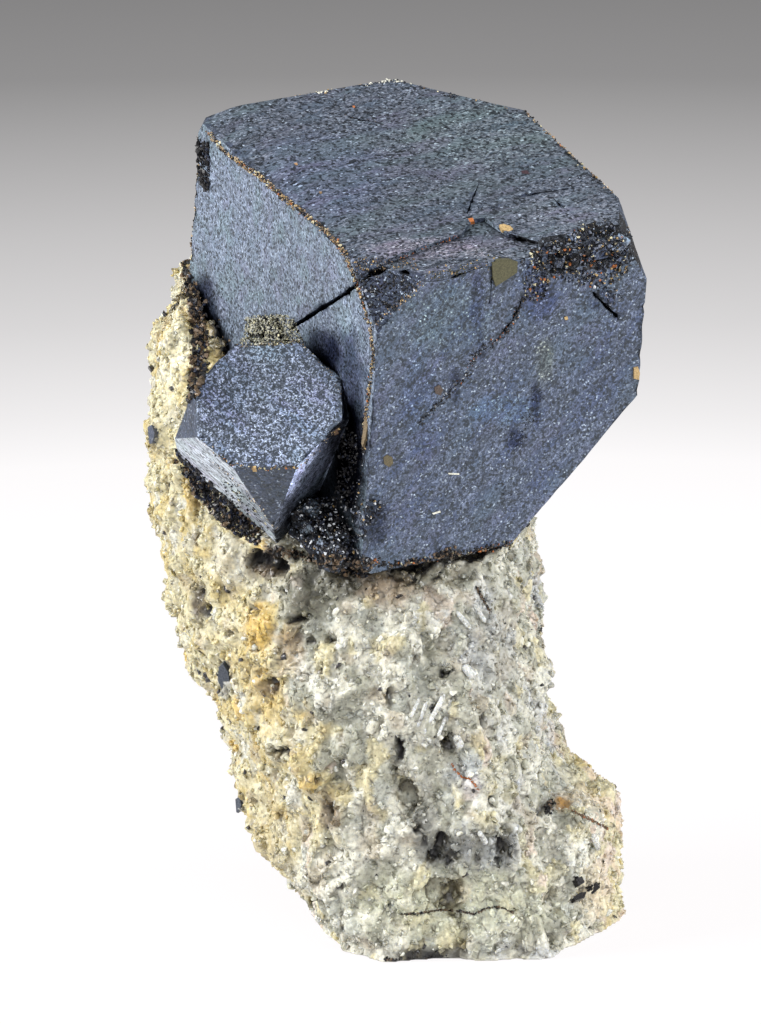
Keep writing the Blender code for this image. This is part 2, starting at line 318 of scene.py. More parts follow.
class Nodes:
    """A short way to wire a material's nodes."""

    def __init__(self, name):
        self.material = bpy.data.materials.new(name)
        self.material.use_nodes = True
        self.tree = self.material.node_tree
        self.shader = self.tree.nodes["Principled BSDF"]

    def add(self, kind, inputs=None, **settings):
        node = self.tree.nodes.new(kind)
        for key, value in settings.items():
            setattr(node, key, value)
        for key, value in (inputs or {}).items():
            self.feed(node.inputs[key], value)
        return node

    def feed(self, socket, value):
        if isinstance(value, bpy.types.NodeSocket):
            self.tree.links.new(value, socket)
        else:
            socket.default_value = value

    def object_place(self, stretch=(1, 1, 1), turn=(0, 0, 0)):
        """Object coordinates in millimetres along turned axes, stretched along each."""
        where = self.add("ShaderNodeTexCoord").outputs["Object"]
        mapping = self.add("ShaderNodeMapping", {"Vector": where, "Rotation": turn}, vector_type="TEXTURE")
        mapping.inputs["Scale"].default_value = [MM * s for s in stretch]
        return mapping.outputs["Vector"]

    def noise(self, place, size, detail, roughness=0.55):
        texture = self.add("ShaderNodeTexNoise", {"Vector": place, "Scale": 1 / size, "Detail": detail})
        texture.inputs["Roughness"].default_value = roughness
        return texture.outputs["Fac"]

    def cells(self, place, size, **settings):
        return self.add("ShaderNodeTexVoronoi", {"Vector": place, "Scale": 1 / size}, **settings)

    def channels(self, cells):
        """Three random numbers from 0 to 1 for each cell."""
        return self.add("ShaderNodeSeparateColor", {"Color": cells.outputs["Color"]}).outputs[:3]

    def tint(self):
        """The colour that the mesh holds at its points, painted shade included."""
        return self.add("ShaderNodeAttribute", attribute_name="tint").outputs["Color"]

    def ramp(self, value, stops):
        node = self.add("ShaderNodeValToRGB", {"Fac": value})
        ramp = node.color_ramp
        while len(ramp.elements) < len(stops):
            ramp.elements.new(0.5)
        for element, (place, colour) in zip(ramp.elements, stops):
            element.position = place
            element.color = (*colour, 1)
        return node.outputs["Color"]

    def grey(self, value, low, high, at_low=0.0, at_high=1.0):
        node = self.add("ShaderNodeMapRange", {"Value": value, "From Min": low, "From Max": high})
        node.inputs["To Min"].default_value = at_low
        node.inputs["To Max"].default_value = at_high
        return node.outputs["Result"]

    def cloud(self, place, size, detail, span, limits=(0.0, 1.0), roughness=0.55):
        """Noise of a size as a number: the part of it within span is spread between the limits."""
        return self.grey(self.noise(place, size, detail, roughness), *span, *limits)

    def product(self, first, second):
        return self.add("ShaderNodeMath", {0: first, 1: second}, operation="MULTIPLY").outputs[0]

    def vector(self, operation, inputs):
        return self.add("ShaderNodeVectorMath", inputs, operation=operation).outputs[0]

    def mix(self, share, first, second, kind="MIX"):
        node = self.add("ShaderNodeMix", data_type="RGBA", blend_type=kind)
        self.feed(node.inputs["Factor"], share)
        for socket, value in ((node.inputs["A"], first), (node.inputs["B"], second)):
            self.feed(socket, (*value, 1) if isinstance(value, tuple) else value)
        return node.outputs["Result"]

    def scaled(self, colour, factor):
        """A colour made lighter or darker by a number."""
        grey = self.add("ShaderNodeCombineColor", {0: factor, 1: factor, 2: factor}).outputs[0]
        return self.mix(1.0, colour, grey, "MULTIPLY")

    def bump(self, height, strength, distance):
        node = self.add("ShaderNodeBump", {"Height": height, "Strength": strength})
        node.inputs["Distance"].default_value = distance
        return node.outputs["Normal"]

    def finish(self, values):
        """The material, with the shader's sockets set by their names."""
        for key, value in values.items():
            self.feed(self.shader.inputs[key], value)
        return self.material


def grained_normal(made, cells, amount, base):
    """Tilts each small cell of a surface its own way, as the tiny faces of a grained surface are."""
    tilt = made.vector("SUBTRACT", {0: cells.outputs["Color"], 1: (0.5, 0.5, 0.5)})
    total = made.vector("ADD", {0: base, 1: made.vector("SCALE", {0: tilt, "Scale": amount})})
    return made.vector("NORMALIZE", {0: total})


def cafarsite(name, dark, light, blotch, stretch=(1, 1, 1), turn=LARGE_TURN, grain=0.115, tilt=0.35,
              sparkle=0.95, contrast=1.0, painted_glint=(0.26, 0.31, 0.38), gloss=0.5, flecks=0.17,
              rough=(0.38, 0.62)):
    """Blue-black crystal face: very fine grains with a satin gleam, smears, dark pits and painted glints as
    bright points.
    """
    made = Nodes(name)
    plain = made.object_place()
    along = made.object_place(stretch, turn)
    smear = made.object_place((2.6, 1, 1), turn)
    cells = made.cells(along, grain)
    red, green, blue = made.channels(cells)
    teal = tuple(part * share for part, share in zip(light, (0.66, 0.78, 0.68)))
    violet = tuple(part * share for part, share in zip(light, (0.72, 0.64, 0.76)))
    body = made.mix(made.cloud(along, 1.6 * grain, 3, (0.38, 0.62), roughness=0.8), dark, light)
    body = made.scaled(body, made.cloud(smear, 0.55, 4, (0.36, 0.64), (0.55, 1.5), 0.7))
    body = made.mix(made.cloud(smear, 1.5, 4, (0.48, 0.66), (0, 0.7)), body, blotch)
    body = made.mix(made.cloud(smear, 3.0, 5, (0.50, 0.64), (0, 0.55)), body, teal)
    body = made.mix(made.cloud(smear, 2.0, 4, (0.54, 0.66), (0, 0.55)), body, violet)
    body = made.scaled(body, made.grey(red, 0, 1, 1 - 0.6 * contrast, 1 + 0.7 * contrast))
    # Painted glints: bright points in the colour, on the cells whose green passes sparkle
    bright = made.scaled(painted_glint, made.cloud(plain, 0.9, 2, (0.35, 0.65), (0.4, 1.6)))
    body = made.mix(made.grey(green, sparkle, sparkle + 0.02, 0, 0.95), body, bright)
    fleck = made.channels(made.cells(plain, 1.9 * grain))[0]
    body = made.scaled(body, made.grey(fleck, flecks - 0.03, flecks + 0.03, 0.18, 1))
    hole = made.grey(made.cells(plain, 0.42).outputs["Distance"], 0.14, 0.30, 1, 0)
    pit = made.product(hole, made.cloud(plain, 0.9, 3, (0.5, 0.60)))
    body = made.mix(pit, body, (0.006, 0.006, 0.010))
    tint = made.tint()
    relief = made.bump(made.noise(along, 3 * grain, 5), 0.4, 0.05 * MM)
    return made.finish({
        # The tint carries painted shade: it dims the colour here and the gleam below
        "Base Color": made.mix(1.0, body, tint, "MULTIPLY"),
        "Roughness": made.grey(blue, 0, 1, *rough),
        "IOR": 1.75,
        "Specular IOR Level": made.grey(tint, 0, 1, 0, gloss),
        "Specular Tint": (0.74, 0.86, 1.0, 1),
        "Normal": grained_normal(made, cells, tilt, relief),
    })


def sugar(name, clear=0.0, roughness=0.38):
    """Grains and ground of the gneiss: their tint, with any painted shade, is on the mesh, with fine clouding
    and a soft glow.
    """
    made = Nodes(name)
    place = made.object_place()
    body = made.scaled(made.tint(), made.cloud(place, 0.30, 5, (0.32, 0.68), (0.64, 1.26), 0.65))
    near = made.grey(made.cells(place, 0.5).outputs["Distance"], 0.09, 0.2, 0.8, 0)
    speck = made.product(near, made.cloud(place, 1.2, 2, (0.55, 0.62)))
    body = made.mix(speck, body, (0.05, 0.045, 0.03))
    seams = made.cells(place, 1.1, feature="DISTANCE_TO_EDGE")
    seam = made.grey(seams.outputs["Distance"], 0.0, 0.11, 0.85, 0)
    crevice = made.product(seam, made.cloud(place, 0.9, 4, (0.49, 0.64)))
    relief = made.bump(made.noise(place, 0.2, 3), 0.4, 0.05 * MM)
    return made.finish({
        "Base Color": made.mix(crevice, body, (0.075, 0.066, 0.045)),
        "Roughness": made.cloud(place, 0.3, 2, (0.3, 0.7), (roughness - 0.15, roughness + 0.2)),
        "IOR": 1.54,
        "Subsurface Weight": 0.7,
        "Subsurface Radius": (1.0, 0.9, 0.7),
        "Subsurface Scale": 0.45 * MM,
        "Transmission Weight": clear,
        "Normal": grained_normal(made, made.cells(place, 0.24), 0.45, relief),
    })


def gritty(name, roughness):
    """Druse and specks: the tint is on the mesh, with a fine mottle."""
    made = Nodes(name)
    place = made.object_place()
    return made.finish({
        "Base Color": made.scaled(made.tint(), made.cloud(place, 0.12, 3, (0.3, 0.7), (0.6, 1.3))),
        "Roughness": made.cloud(place, 0.2, 2, (0.3, 0.7), (roughness - 0.18, roughness + 0.15)),
        "IOR": 1.5,
        "Specular IOR Level": 0.35,
        "Normal": made.bump(made.noise(place, 0.08, 3), 0.4, 0.03 * MM),
    })


# Grains: convex stones that are copied, turned and joined in one mesh

def stone_templates(count, corners, seed):
    """Small convex stones of unit radius, each the hull of a few points on a ball."""
    rng = random.Random(seed)
    found = []
    for _ in range(count):
        body = bmesh.new()
        for _ in range(corners):
            point = Vector([rng.gauss(0, 1) for _ in range(3)]).normalized()
            body.verts.new(point * rng.uniform(0.82, 1.0))
        bmesh.ops.convex_hull(body, input=body.verts[:])
        loose = [vert for vert in body.verts if not vert.link_faces]
        bmesh.ops.delete(body, geom=loose, context="VERTS")
        bmesh.ops.triangulate(body, faces=body.faces[:])
        body.verts.index_update()
        points = np.array([vert.co[:] for vert in body.verts])
        faces = np.array([[vert.index for vert in face.verts] for face in body.faces])
        found.append((points, faces))
        body.free()
    return found


def random_turns(count, rng):
    """Random rotation matrices, one to a grain."""
    q = rng.normal(size=(count, 4))
    q /= np.linalg.norm(q, axis=1)[:, None]
    w, x, y, z = q.T
    rows = (
        (1 - 2 * (y * y + z * z), 2 * (x * y - z * w), 2 * (x * z + y * w)),
        (2 * (x * y + z * w), 1 - 2 * (x * x + z * z), 2 * (y * z - x * w)),
        (2 * (x * z - y * w), 2 * (y * z + x * w), 1 - 2 * (x * x + y * y)),
    )
    return np.array(rows).transpose(2, 0, 1)


def grain_mesh(name, places, sizes, colours, templates, seed):
    """One mesh of many stones: each has its place, its size and its tint."""
    rng = np.random.default_rng(seed)
    turns = random_turns(len(places), rng)
    stretch = 1 + UNEVEN * rng.uniform(-1, 1, (len(places), 3))
    kinds = rng.integers(0, len(templates), len(places))
    all_points, all_faces, all_colours = [], [], []
    start = 0
    for kind, (points, faces) in enumerate(templates):
        chosen = np.flatnonzero(kinds == kind)
        if not len(chosen):
            continue
        shaped = points[None] * (stretch[chosen] * sizes[chosen, None])[:, None, :]
        turned = np.einsum("gij,gpj->gpi", turns[chosen], shaped) + places[chosen][:, None, :]
        firsts = start + np.arange(len(chosen)) * len(points)
        all_points.append(turned.reshape(-1, 3))
        all_faces.append((faces[None] + firsts[:, None, None]).reshape(-1, 3))
        all_colours.append(np.repeat(colours[chosen], len(points), axis=0))
        start += len(chosen) * len(points)
    mesh = bpy.data.meshes.new(name)
    mesh.from_pydata(np.concatenate(all_points).tolist(), [], np.concatenate(all_faces).tolist())
    set_tint(mesh, np.concatenate(all_colours))
    return mesh


def palette(count, rng, choices):
    """A random colour for each grain out of (share, colour) choices, each a little lighter or darker."""
    shares = np.array([share for share, _ in choices], float)
    colours = np.array([colour for _, colour in choices])
    picked = colours[rng.choice(len(choices), count, p=shares / shares.sum())]
    return picked * rng.uniform(0.75, 1.15, (count, 1))


# Gneiss

# Where the honey-coloured side ends: height and x of the line, in mm, at the front of the rock
HONEY_LINE = (
    (0, -10.5), (4.8, -10.5), (8.7, -9.0), (13.3, -6.9), (15.6, -8.2), (20.3, -10.5), (25, -11.6),
    (31.2, -12.7), (40, -12.0), (55, -12.0),
)

# Pits of the rock in painted shade, as photo pixels: middle, half-width and half-height in pixels, and depth
# in mm
PITS = (
    ((441, 842), 5, 9, 1.2), ((436, 855), 6, 6, 1.1), ((447, 862), 5, 7, 1.1), ((453, 856), 4, 6, 0.9),
    ((418, 826), 3, 12, 0.9), ((424, 841), 3, 6, 0.9), ((502, 846), 3, 9, 1.0), ((512, 853), 4, 8, 1.0),
    ((498, 862), 3, 7, 0.8), ((489, 838), 2, 5, 0.7), ((400, 752), 4, 14, 1.0), ((445, 672), 7, 4, 1.0),
    ((391, 697), 4, 8, 0.8), ((330, 815), 3, 9, 0.9), ((276, 753), 8, 5, 0.8), ((299, 620), 13, 5, 1.2),
    ((258, 560), 12, 9, 1.5), ((276, 565), 10, 9, 1.5), ((545, 806), 4, 5, 0.9), ((197, 592), 5, 8, 1.1),
    ((201, 613), 5, 10, 1.0), ((497, 800), 4, 4, 0.7), ((248, 608), 4, 4, 0.7), ((583, 891), 6, 4, 0.8),
    ((533, 628), 3, 9, 0.7), ((521, 648), 3, 4, 0.6), ((318, 666), 4, 4, 0.7), ((402, 562), 24, 5, 1.0),
    ((360, 568), 12, 5, 0.9), ((335, 556), 18, 5, 0.9), ((449, 745), 5, 10, 0.6), ((254, 648), 3, 5, 0.6),
    ((318, 780), 3, 5, 0.7), ((487, 722), 3, 9, 0.7), ((226, 635), 3, 4, 0.5), ((267, 685), 7, 4, 0.7),
    ((325, 640), 3, 5, 0.6), ((292, 752), 3, 5, 0.5), ((437, 707), 5, 6, 0.8),
)

# Lumps that stand out, in the same way
KNOBS = (
    ((294, 592), 22, 20, 0.9), ((257, 628), 14, 18, 0.7), ((335, 583), 14, 10, 0.6),
    ((583, 815), 20, 14, 0.5), ((330, 655), 16, 12, 0.5), ((400, 645), 16, 14, 0.5),
)

# Coloured parts of the rock and painted shade, as photo pixels: middle, half-sizes in pixels, colour and
# strength
STAINS_AND_SHADE = (
    # The dark spots on pits and right under the crystals are painted shade
    ((330, 577), 66, 24, SHADE, 0.92), ((304, 603), 34, 32, (0.17, 0.17, 0.13), 0.9),
    ((386, 590), 30, 20, (0.42, 0.31, 0.21), 0.7), ((266, 562), 27, 17, BROWN, 0.9),
    ((265, 561), 19, 11, (0.02, 0.014, 0.01), 0.95), ((257, 629), 19, 30, (0.58, 0.40, 0.11), 0.9),
    ((262, 690), 26, 40, (0.53, 0.40, 0.16), 0.6), ((270, 835), 52, 60, (0.48, 0.42, 0.27), 0.55),
    ((240, 600), 10, 18, STRAW, 0.6), ((290, 650), 16, 26, (0.33, 0.25, 0.18), 0.7),
    ((198, 604), 9, 25, (0.09, 0.07, 0.045), 0.95), ((226, 678), 8, 18, STEEL, 0.75),
    ((228, 560), 22, 30, (0.66, 0.64, 0.55), 0.6), ((442, 853), 22, 22, (0.025, 0.025, 0.025), 0.92),
    ((424, 824), 17, 36, (0.13, 0.13, 0.115), 0.85), ((505, 852), 13, 24, (0.03, 0.03, 0.028), 0.9),
    ((470, 850), 54, 28, (0.22, 0.23, 0.22), 0.7), ((468, 778), 26, 24, (0.50, 0.53, 0.56), 0.6),
    ((398, 755), 10, 18, SHADE, 0.7), ((330, 815), 13, 18, BROWN, 0.8),
    ((590, 798), 30, 18, (0.74, 0.64, 0.47), 0.7), ((563, 803), 10, 9, (0.38, 0.21, 0.05), 0.95),
    ((545, 806), 7, 8, BLACK, 0.8), ((240, 803), 5, 10, STEEL, 0.8),
    ((285, 898), 24, 16, (0.60, 0.47, 0.33), 0.6), ((455, 905), 110, 42, (0.66, 0.67, 0.50), 0.6),
    # The black spot at (424, 957) along the front of the foot is dark mineral and the foot's painted shadow
    ((424, 957), 46, 9, BLACK, 0.97), ((598, 890), 34, 34, (0.72, 0.63, 0.46), 0.65),
    ((585, 852), 26, 20, (0.80, 0.80, 0.70), 0.7), ((500, 640), 40, 60, (0.36, 0.36, 0.33), 0.6),
    ((170, 340), 20, 66, (0.80, 0.74, 0.52), 0.85), ((445, 676), 14, 9, SHADE, 0.7),
    ((153, 435), 5, 11, STEEL, 0.7), ((268, 688), 14, 8, BROWN, 0.7),
)

# How far in front of and behind its middle a spot reaches
SPOT_DEPTH = 4 * MM


def photo_places(points):
    """Where the camera sees each point, in photo pixels."""
    away = points - np.array(camera_point())
    scale = DISTANCE / PIXEL / -(away @ np.array(TO_CAMERA))
    return PHOTO_WIDTH / 2 + away[:, 0] * scale, PHOTO_HEIGHT / 2 - (away @ np.array(IMAGE_UP)) * scale


def spots_on(points, tree, spots):
    """How far each point lies in each spot, 1 in its middle and 0 at its ragged rim, and what else it has."""
    x, y = photo_places(points)
    ragged = 0.40 * noise_at(points, 0.9 * MM, 12.0) + 0.45 * noise_at(points, 0.45 * MM, 13.0)
    for middle, half_width, half_height, *rest in spots:
        place = tree.ray_cast(*through(middle))[0]
        if place:
            far = ((x - middle[0]) / half_width) ** 2 + ((y - middle[1]) / half_height) ** 2
            far += ((points[:, 1] - place.y) / SPOT_DEPTH) ** 2
            yield np.clip(1.25 - far + ragged, 0, 1), *rest


def near_line(points, line):
    """The distance from each point to a line of points."""
    best = np.full(len(points), 1.0)
    for a, b in zip(line, line[1:]):
        a, b = np.array(a), np.array(b)
        share = np.clip((points - a) @ (b - a) / ((b - a) @ (b - a)), 0, 1)
        best = np.minimum(best, np.linalg.norm(points - a - share[:, None] * (b - a), axis=1))
    return best


def pit_depths(points, tree):
    """How deep the rock is sunk at each point, in metres: pits from the photo and small ones."""
    depths = 0.4 * MM * smooth(0.44, 0.60, noise_at(points * [1, 1, 0.6], 1.1 * MM, 8.0))
    for share, deep in spots_on(points, tree, PITS):
        depths = np.maximum(depths, deep * MM * np.sqrt(share))
    return depths


def rock_body(tree):
    """The rock's ground: the solid remeshed finely, with lumps like wet sugar, pits and knobs."""
    source = as_object("rock_source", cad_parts["gneiss_matrix"].data.copy())
    remesh = source.modifiers.new("remesh", "REMESH")
    remesh.mode = "VOXEL"
    remesh.voxel_size = ROCK_VOXEL
    mesh = evaluated_mesh(source)
    points = coordinates(mesh)
    normals = point_normals(mesh)
    heights = np.zeros(len(points))
    for i, (height, width) in enumerate(ROCK_LUMPS):
        heights += height * (lumps_at(points * LUMP_FORM, width, LUMP_SHIFT * i)[0] - 0.8)
    pits = pit_depths(points, tree)
    for share, high in spots_on(points, tree, KNOBS):
        heights += high * MM * share
    moved = points + normals * (heights - pits)[:, None]
    foot = points[:, 2] < FOOT_EDGE
    moved[foot] = points[foot]
    moved[:, 2] = np.maximum(moved[:, 2], 0)
    set_coordinates(mesh, moved)
    mesh.shade_smooth()
    return mesh, pits / MM


def pick_by(share, choices):
    """The colour for each number from 0 to 1, out of (share, colour) choices."""
    steps = np.cumsum([part for part, _ in choices]) / sum(part for part, _ in choices)
    return np.array([colour for _, colour in choices])[np.searchsorted(steps, np.minimum(share, 0.999))]


def blend(colours, share, over):
    return colours * (1 - share[:, None]) + np.asarray(over) * share[:, None]


# Where the tan part of the rock starts to the left and ends at the top, in mm, and the bluish part
TAN_SIDE, TAN_TOP = 8.5, 16
BLUE_SIDE, BLUE_TOP = -3, 32

# Mixes of the lumps' colours in the rock's parts: share and colour
MIDDLE_MIX = ((4, SUGAR), (3, GREY_GREEN), (1.2, CREAM), (0.5, PINK), (1.5, (0.48, 0.49, 0.43)))
BLUE_MIX = ((2, BLUISH), (1.5, SUGAR), (1, GREY_GREEN))
WARM_MIX = ((2, TAN), (1.5, PINK), (3, CREAM), (1, STRAW))
HONEY_MIX = ((5, CREAM), (3, STRAW), (0.5, HONEY), (1, (0.56, 0.53, 0.40)), (1, SUGAR))


def gneiss_colours(points, tree):
    """The rock's colour at each point: honey side, sugary middle, bluish and tan parts, and stains and
    painted shade.
    """
    x, y, z = (points / MM).T
    drift = noise_at(points, 3.0 * MM, 2.0)
    fine = noise_at(points, 1.1 * MM, 5.0)
    lump = lumps_at(points * LUMP_FORM, ROCK_LUMPS[1][1], LUMP_SHIFT)[1]
    line = np.interp(z, [p[0] for p in HONEY_LINE], [p[1] for p in HONEY_LINE])
    honey = smooth(-1.2, 1.4, line + 2.0 * drift + 1.2 * fine - x + 0.12 * np.maximum(y, 0))
    warm = smooth(0.5, 3.5, x - TAN_SIDE + 2.5 * drift + 0.3 * y) * smooth(-3, 3, TAN_TOP - z)
    blue = smooth(-0.2, 0.35, drift) * smooth(0, 5, x - BLUE_SIDE) * smooth(0, 6, BLUE_TOP - z)
    colours = pick_by(lump, MIDDLE_MIX)
    colours = blend(colours, 0.75 * blue, pick_by(lump, BLUE_MIX))
    colours = blend(colours, warm, pick_by(lump, WARM_MIX))
    side = blend(pick_by(lump, HONEY_MIX), 0.30 * smooth(0.10, 0.5, fine), HONEY)
    colours = blend(colours, honey, side)
    colours = blend(colours, 0.5 * smooth(0.25, 0.5, noise_at(points, 2.0 * MM, 9.0)), (0.38, 0.31, 0.22))
    for share, colour, strength in spots_on(points, tree, STAINS_AND_SHADE):
        colours = blend(colours, strength * share, colour)
    return colours


def painted_shade(openness_here, contact):
    """How much painted shade, light-brown to black, sits at each point: in hollows and where the crystals
    grow out.
    """
    hollow = smooth(0.70, 0.18, openness_here)
    return np.clip(0.85 * hollow + 0.9 * smooth(1.5 * MM, 0.3 * MM, contact), 0, 0.96)


def under_painted_shade(colours, amount):
    """Colours under painted shade: first browner, then nearly black."""
    brown = colours * [0.42, 0.38, 0.31]
    colours = blend(colours, np.clip(amount * 1.6, 0, 1), brown)
    return blend(colours, smooth(0.55, 1.0, amount), BLACK)


def rock_grains(mesh, pits, rng):
    """Places and sizes of the sugary grains on the rock, and the number of the point that each grows from."""
    points = coordinates(mesh)
    normals = point_normals(mesh)
    mesh.calc_loop_triangles()
    corners = np.array([tri.vertices[:] for tri in mesh.loop_triangles])
    a, b, c = (points[corners[:, k]] for k in range(3))
    areas = np.linalg.norm(np.cross(b - a, c - a), axis=1)
    picked = rng.choice(len(corners), GRAIN_COUNT, p=areas / areas.sum())
    u, v = rng.random((2, GRAIN_COUNT))
    flip = u + v > 1
    u[flip], v[flip] = 1 - u[flip], 1 - v[flip]
    places = a[picked] + (b - a)[picked] * u[:, None] + (c - a)[picked] * v[:, None]
    roots = corners[picked, 0]
    low, high = GRAIN_RADIUS
    sizes = low + (high - low) * rng.random(GRAIN_COUNT) ** 1.7
    keep = (places[:, 2] > sizes + GRAIN_LIFT) & (pits[roots] < BARE_DEPTH)
    places = places[keep] + normals[roots[keep]] * (sizes[keep] * rng.uniform(-0.6, 0.2, keep.sum()))[:, None]
    return places, sizes[keep], roots[keep]


def rock_ground(tree, crystal_tree):
    """The rock's ground with its colours, and how much painted shade and how deeply sunk it is at each point.
    """
    mesh, pits = rock_body(tree)
    points = coordinates(mesh)
    open_here = openness(points, point_normals(mesh), (tree_of(mesh), crystal_tree), ROCK_SHADE_REACH)
    # Painted shade in hollows and at the crystals' foot, and in the pits by their depth
    amount = np.maximum(painted_shade(open_here, distances(points, crystal_tree)), smooth(0.25, 0.75, pits))
    set_tint(mesh, under_painted_shade(gneiss_colours(points, tree), np.clip(amount + 0.12, 0, 1)))
    mesh.materials.clear()
    return mesh, amount, pits


def grain_colours(places, tree, shade_here, rng):
    """The colour of each grain: the rock's there under its painted shade, with a few pale and black ones."""
    count = len(places)
    colours = gneiss_colours(places, tree) * rng.uniform(0.86, 1.10, (count, 1))
    odd = rng.random(count)
    colours[odd > 1 - PALE_SHARE] = np.array(SUGAR) * 1.1
    colours = under_painted_shade(colours, 0.8 * shade_here)
    black = odd < BLACK_SHARE
    colours[black] = np.array(BLACK) * rng.uniform(0.6, 5, (black.sum(), 1))
    return colours


def gneiss():
    """Ground and grains of the rock, which stand for the solid."""
    tree = tree_of(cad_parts["gneiss_matrix"].data)
    crystal_tree = tree_of(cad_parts["cafarsite_crystals"].data)
    mesh, amount, pits = rock_ground(tree, crystal_tree)
    ground = finished("gneiss_ground", mesh, sugar("gneiss_ground"))
    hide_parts("gneiss_matrix")
    rng = np.random.default_rng(21)
    places, sizes, roots = rock_grains(mesh, pits, rng)
    keep = distances(places, crystal_tree) > sizes * 0.8
    places, sizes, roots = places[keep], sizes[keep], roots[keep]
    colours = grain_colours(places, tree, amount[roots], rng)
    kinds = rng.random(len(places))
    stones = stone_templates(count=16, corners=11, seed=3)
    meshes = [mesh]
    for i, (name, clear, roughness, angle) in enumerate(GRAIN_KINDS):
        chosen = (kinds * len(GRAIN_KINDS)).astype(int) == i
        grains = grain_mesh(name, places[chosen], sizes[chosen], colours[chosen], stones, 8 + i)
        grains.shade_smooth()
        grains.set_sharp_from_angle(angle=math.radians(angle))
        finished(name, grains, sugar(name, clear, roughness))
        meshes.append(grains)
    return tree_of(*meshes)


# Cafarsite

def crack_cutter(tree):
    """Thin wedges along the crack lines, pressed into the crystals' faces."""
    rng = random.Random(4)
    body = bmesh.new()
    for width, depth, pixels in CRACKS:
        hits = [tree.ray_cast(*through(pixel)) for pixel in pixels]
        hits = [(hit[0], hit[1]) for hit in hits if hit[0]]
        rows = []
        for i, (place, normal) in enumerate(hits):
            ahead = hits[min(i + 1, len(hits) - 1)][0]
            behind = hits[max(i - 1, 0)][0]
            side = normal.cross(ahead - behind).normalized()
            end = CRACK_END if i in (0, len(hits) - 1) else 1.0
            half = width * MM / 2 * end * rng.uniform(*CRACK_UNEVEN)
            shift = side * rng.uniform(-CRACK_WANDER, CRACK_WANDER) * MM
            top = place + normal * CRACK_LIFT * MM + shift
            low = place - normal * depth * MM * end + shift
            rows.append([body.verts.new(p) for p in (top + side * half, top - side * half, low)])
        skin(body, rows)
    return as_object("crack_cutter", closed_mesh("crack_cutter", body))


def bevelled_copy(source):
    """A copy of the crystals' mesh with whole faces and slightly blunt long edges."""
    body = bmesh.new()
    body.from_mesh(source)
    bmesh.ops.remove_doubles(body, verts=body.verts[:], dist=1e-7)
    bmesh.ops.dissolve_limit(body, angle_limit=math.radians(1), verts=body.verts[:], edges=body.edges[:])
    long_edges = [
        edge for edge in body.edges
        if edge.calc_length() > LONG_EDGE and edge.calc_face_angle(0) > math.radians(BENT_EDGE)
    ]
    bmesh.ops.bevel(body, geom=long_edges, offset=EDGE_BEVEL, segments=1, affect="EDGES", clamp_overlap=True)
    mesh = bpy.data.meshes.new("cafarsite")
    body.to_mesh(mesh)
    body.free()
    return mesh


def finely_cut(mesh):
    """Slices the faces along the large crystal's own directions, into a grid of small ones."""
    to_local = (Matrix.Translation(LARGE_CORNER) @ LARGE_TURN.to_matrix().to_4x4()).inverted()
    mesh.transform(to_local)
    body = bmesh.new()
    body.from_mesh(mesh)
    points = coordinates(mesh)
    for axis in range(3):
        normal = Vector((0, 0, 0))
        normal[axis] = 1
        low, high = points[:, axis].min(), points[:, axis].max()
        for k in range(1, int((high - low) / GRID)):
            cut = normal * (low + k * GRID)
            everything = body.verts[:] + body.edges[:] + body.faces[:]
            bmesh.ops.bisect_plane(body, geom=everything, dist=1e-6, plane_co=cut, plane_no=normal)
    bmesh.ops.triangulate(body, faces=[face for face in body.faces if len(face.verts) > 4])
    body.to_mesh(mesh)
    body.free()
    mesh.transform(to_local.inverted())


def crystal_relief(mesh, flat_tree):
    """Low waves and grain on the faces, and small chips along the edges."""
    points = coordinates(mesh)
    normals = point_normals(mesh)
    wave, wave_size = WAVE
    grain, grain_size = GRAIN_RELIEF
    chip, chip_size = EDGE_CHIPS
    heights = wave * noise_at(points, wave_size, 1.0) + grain * noise_at(points, grain_size, 4.0)
    flat = np.array([flat_tree.find_nearest(Vector(p))[1][:] for p in points])
    edge = smooth(0.985, 0.93, (normals * flat).sum(1))
    heights -= edge * chip * smooth(-0.1, 0.5, noise_at(points, chip_size, 6.0))
    set_coordinates(mesh, points + normals * heights[:, None])


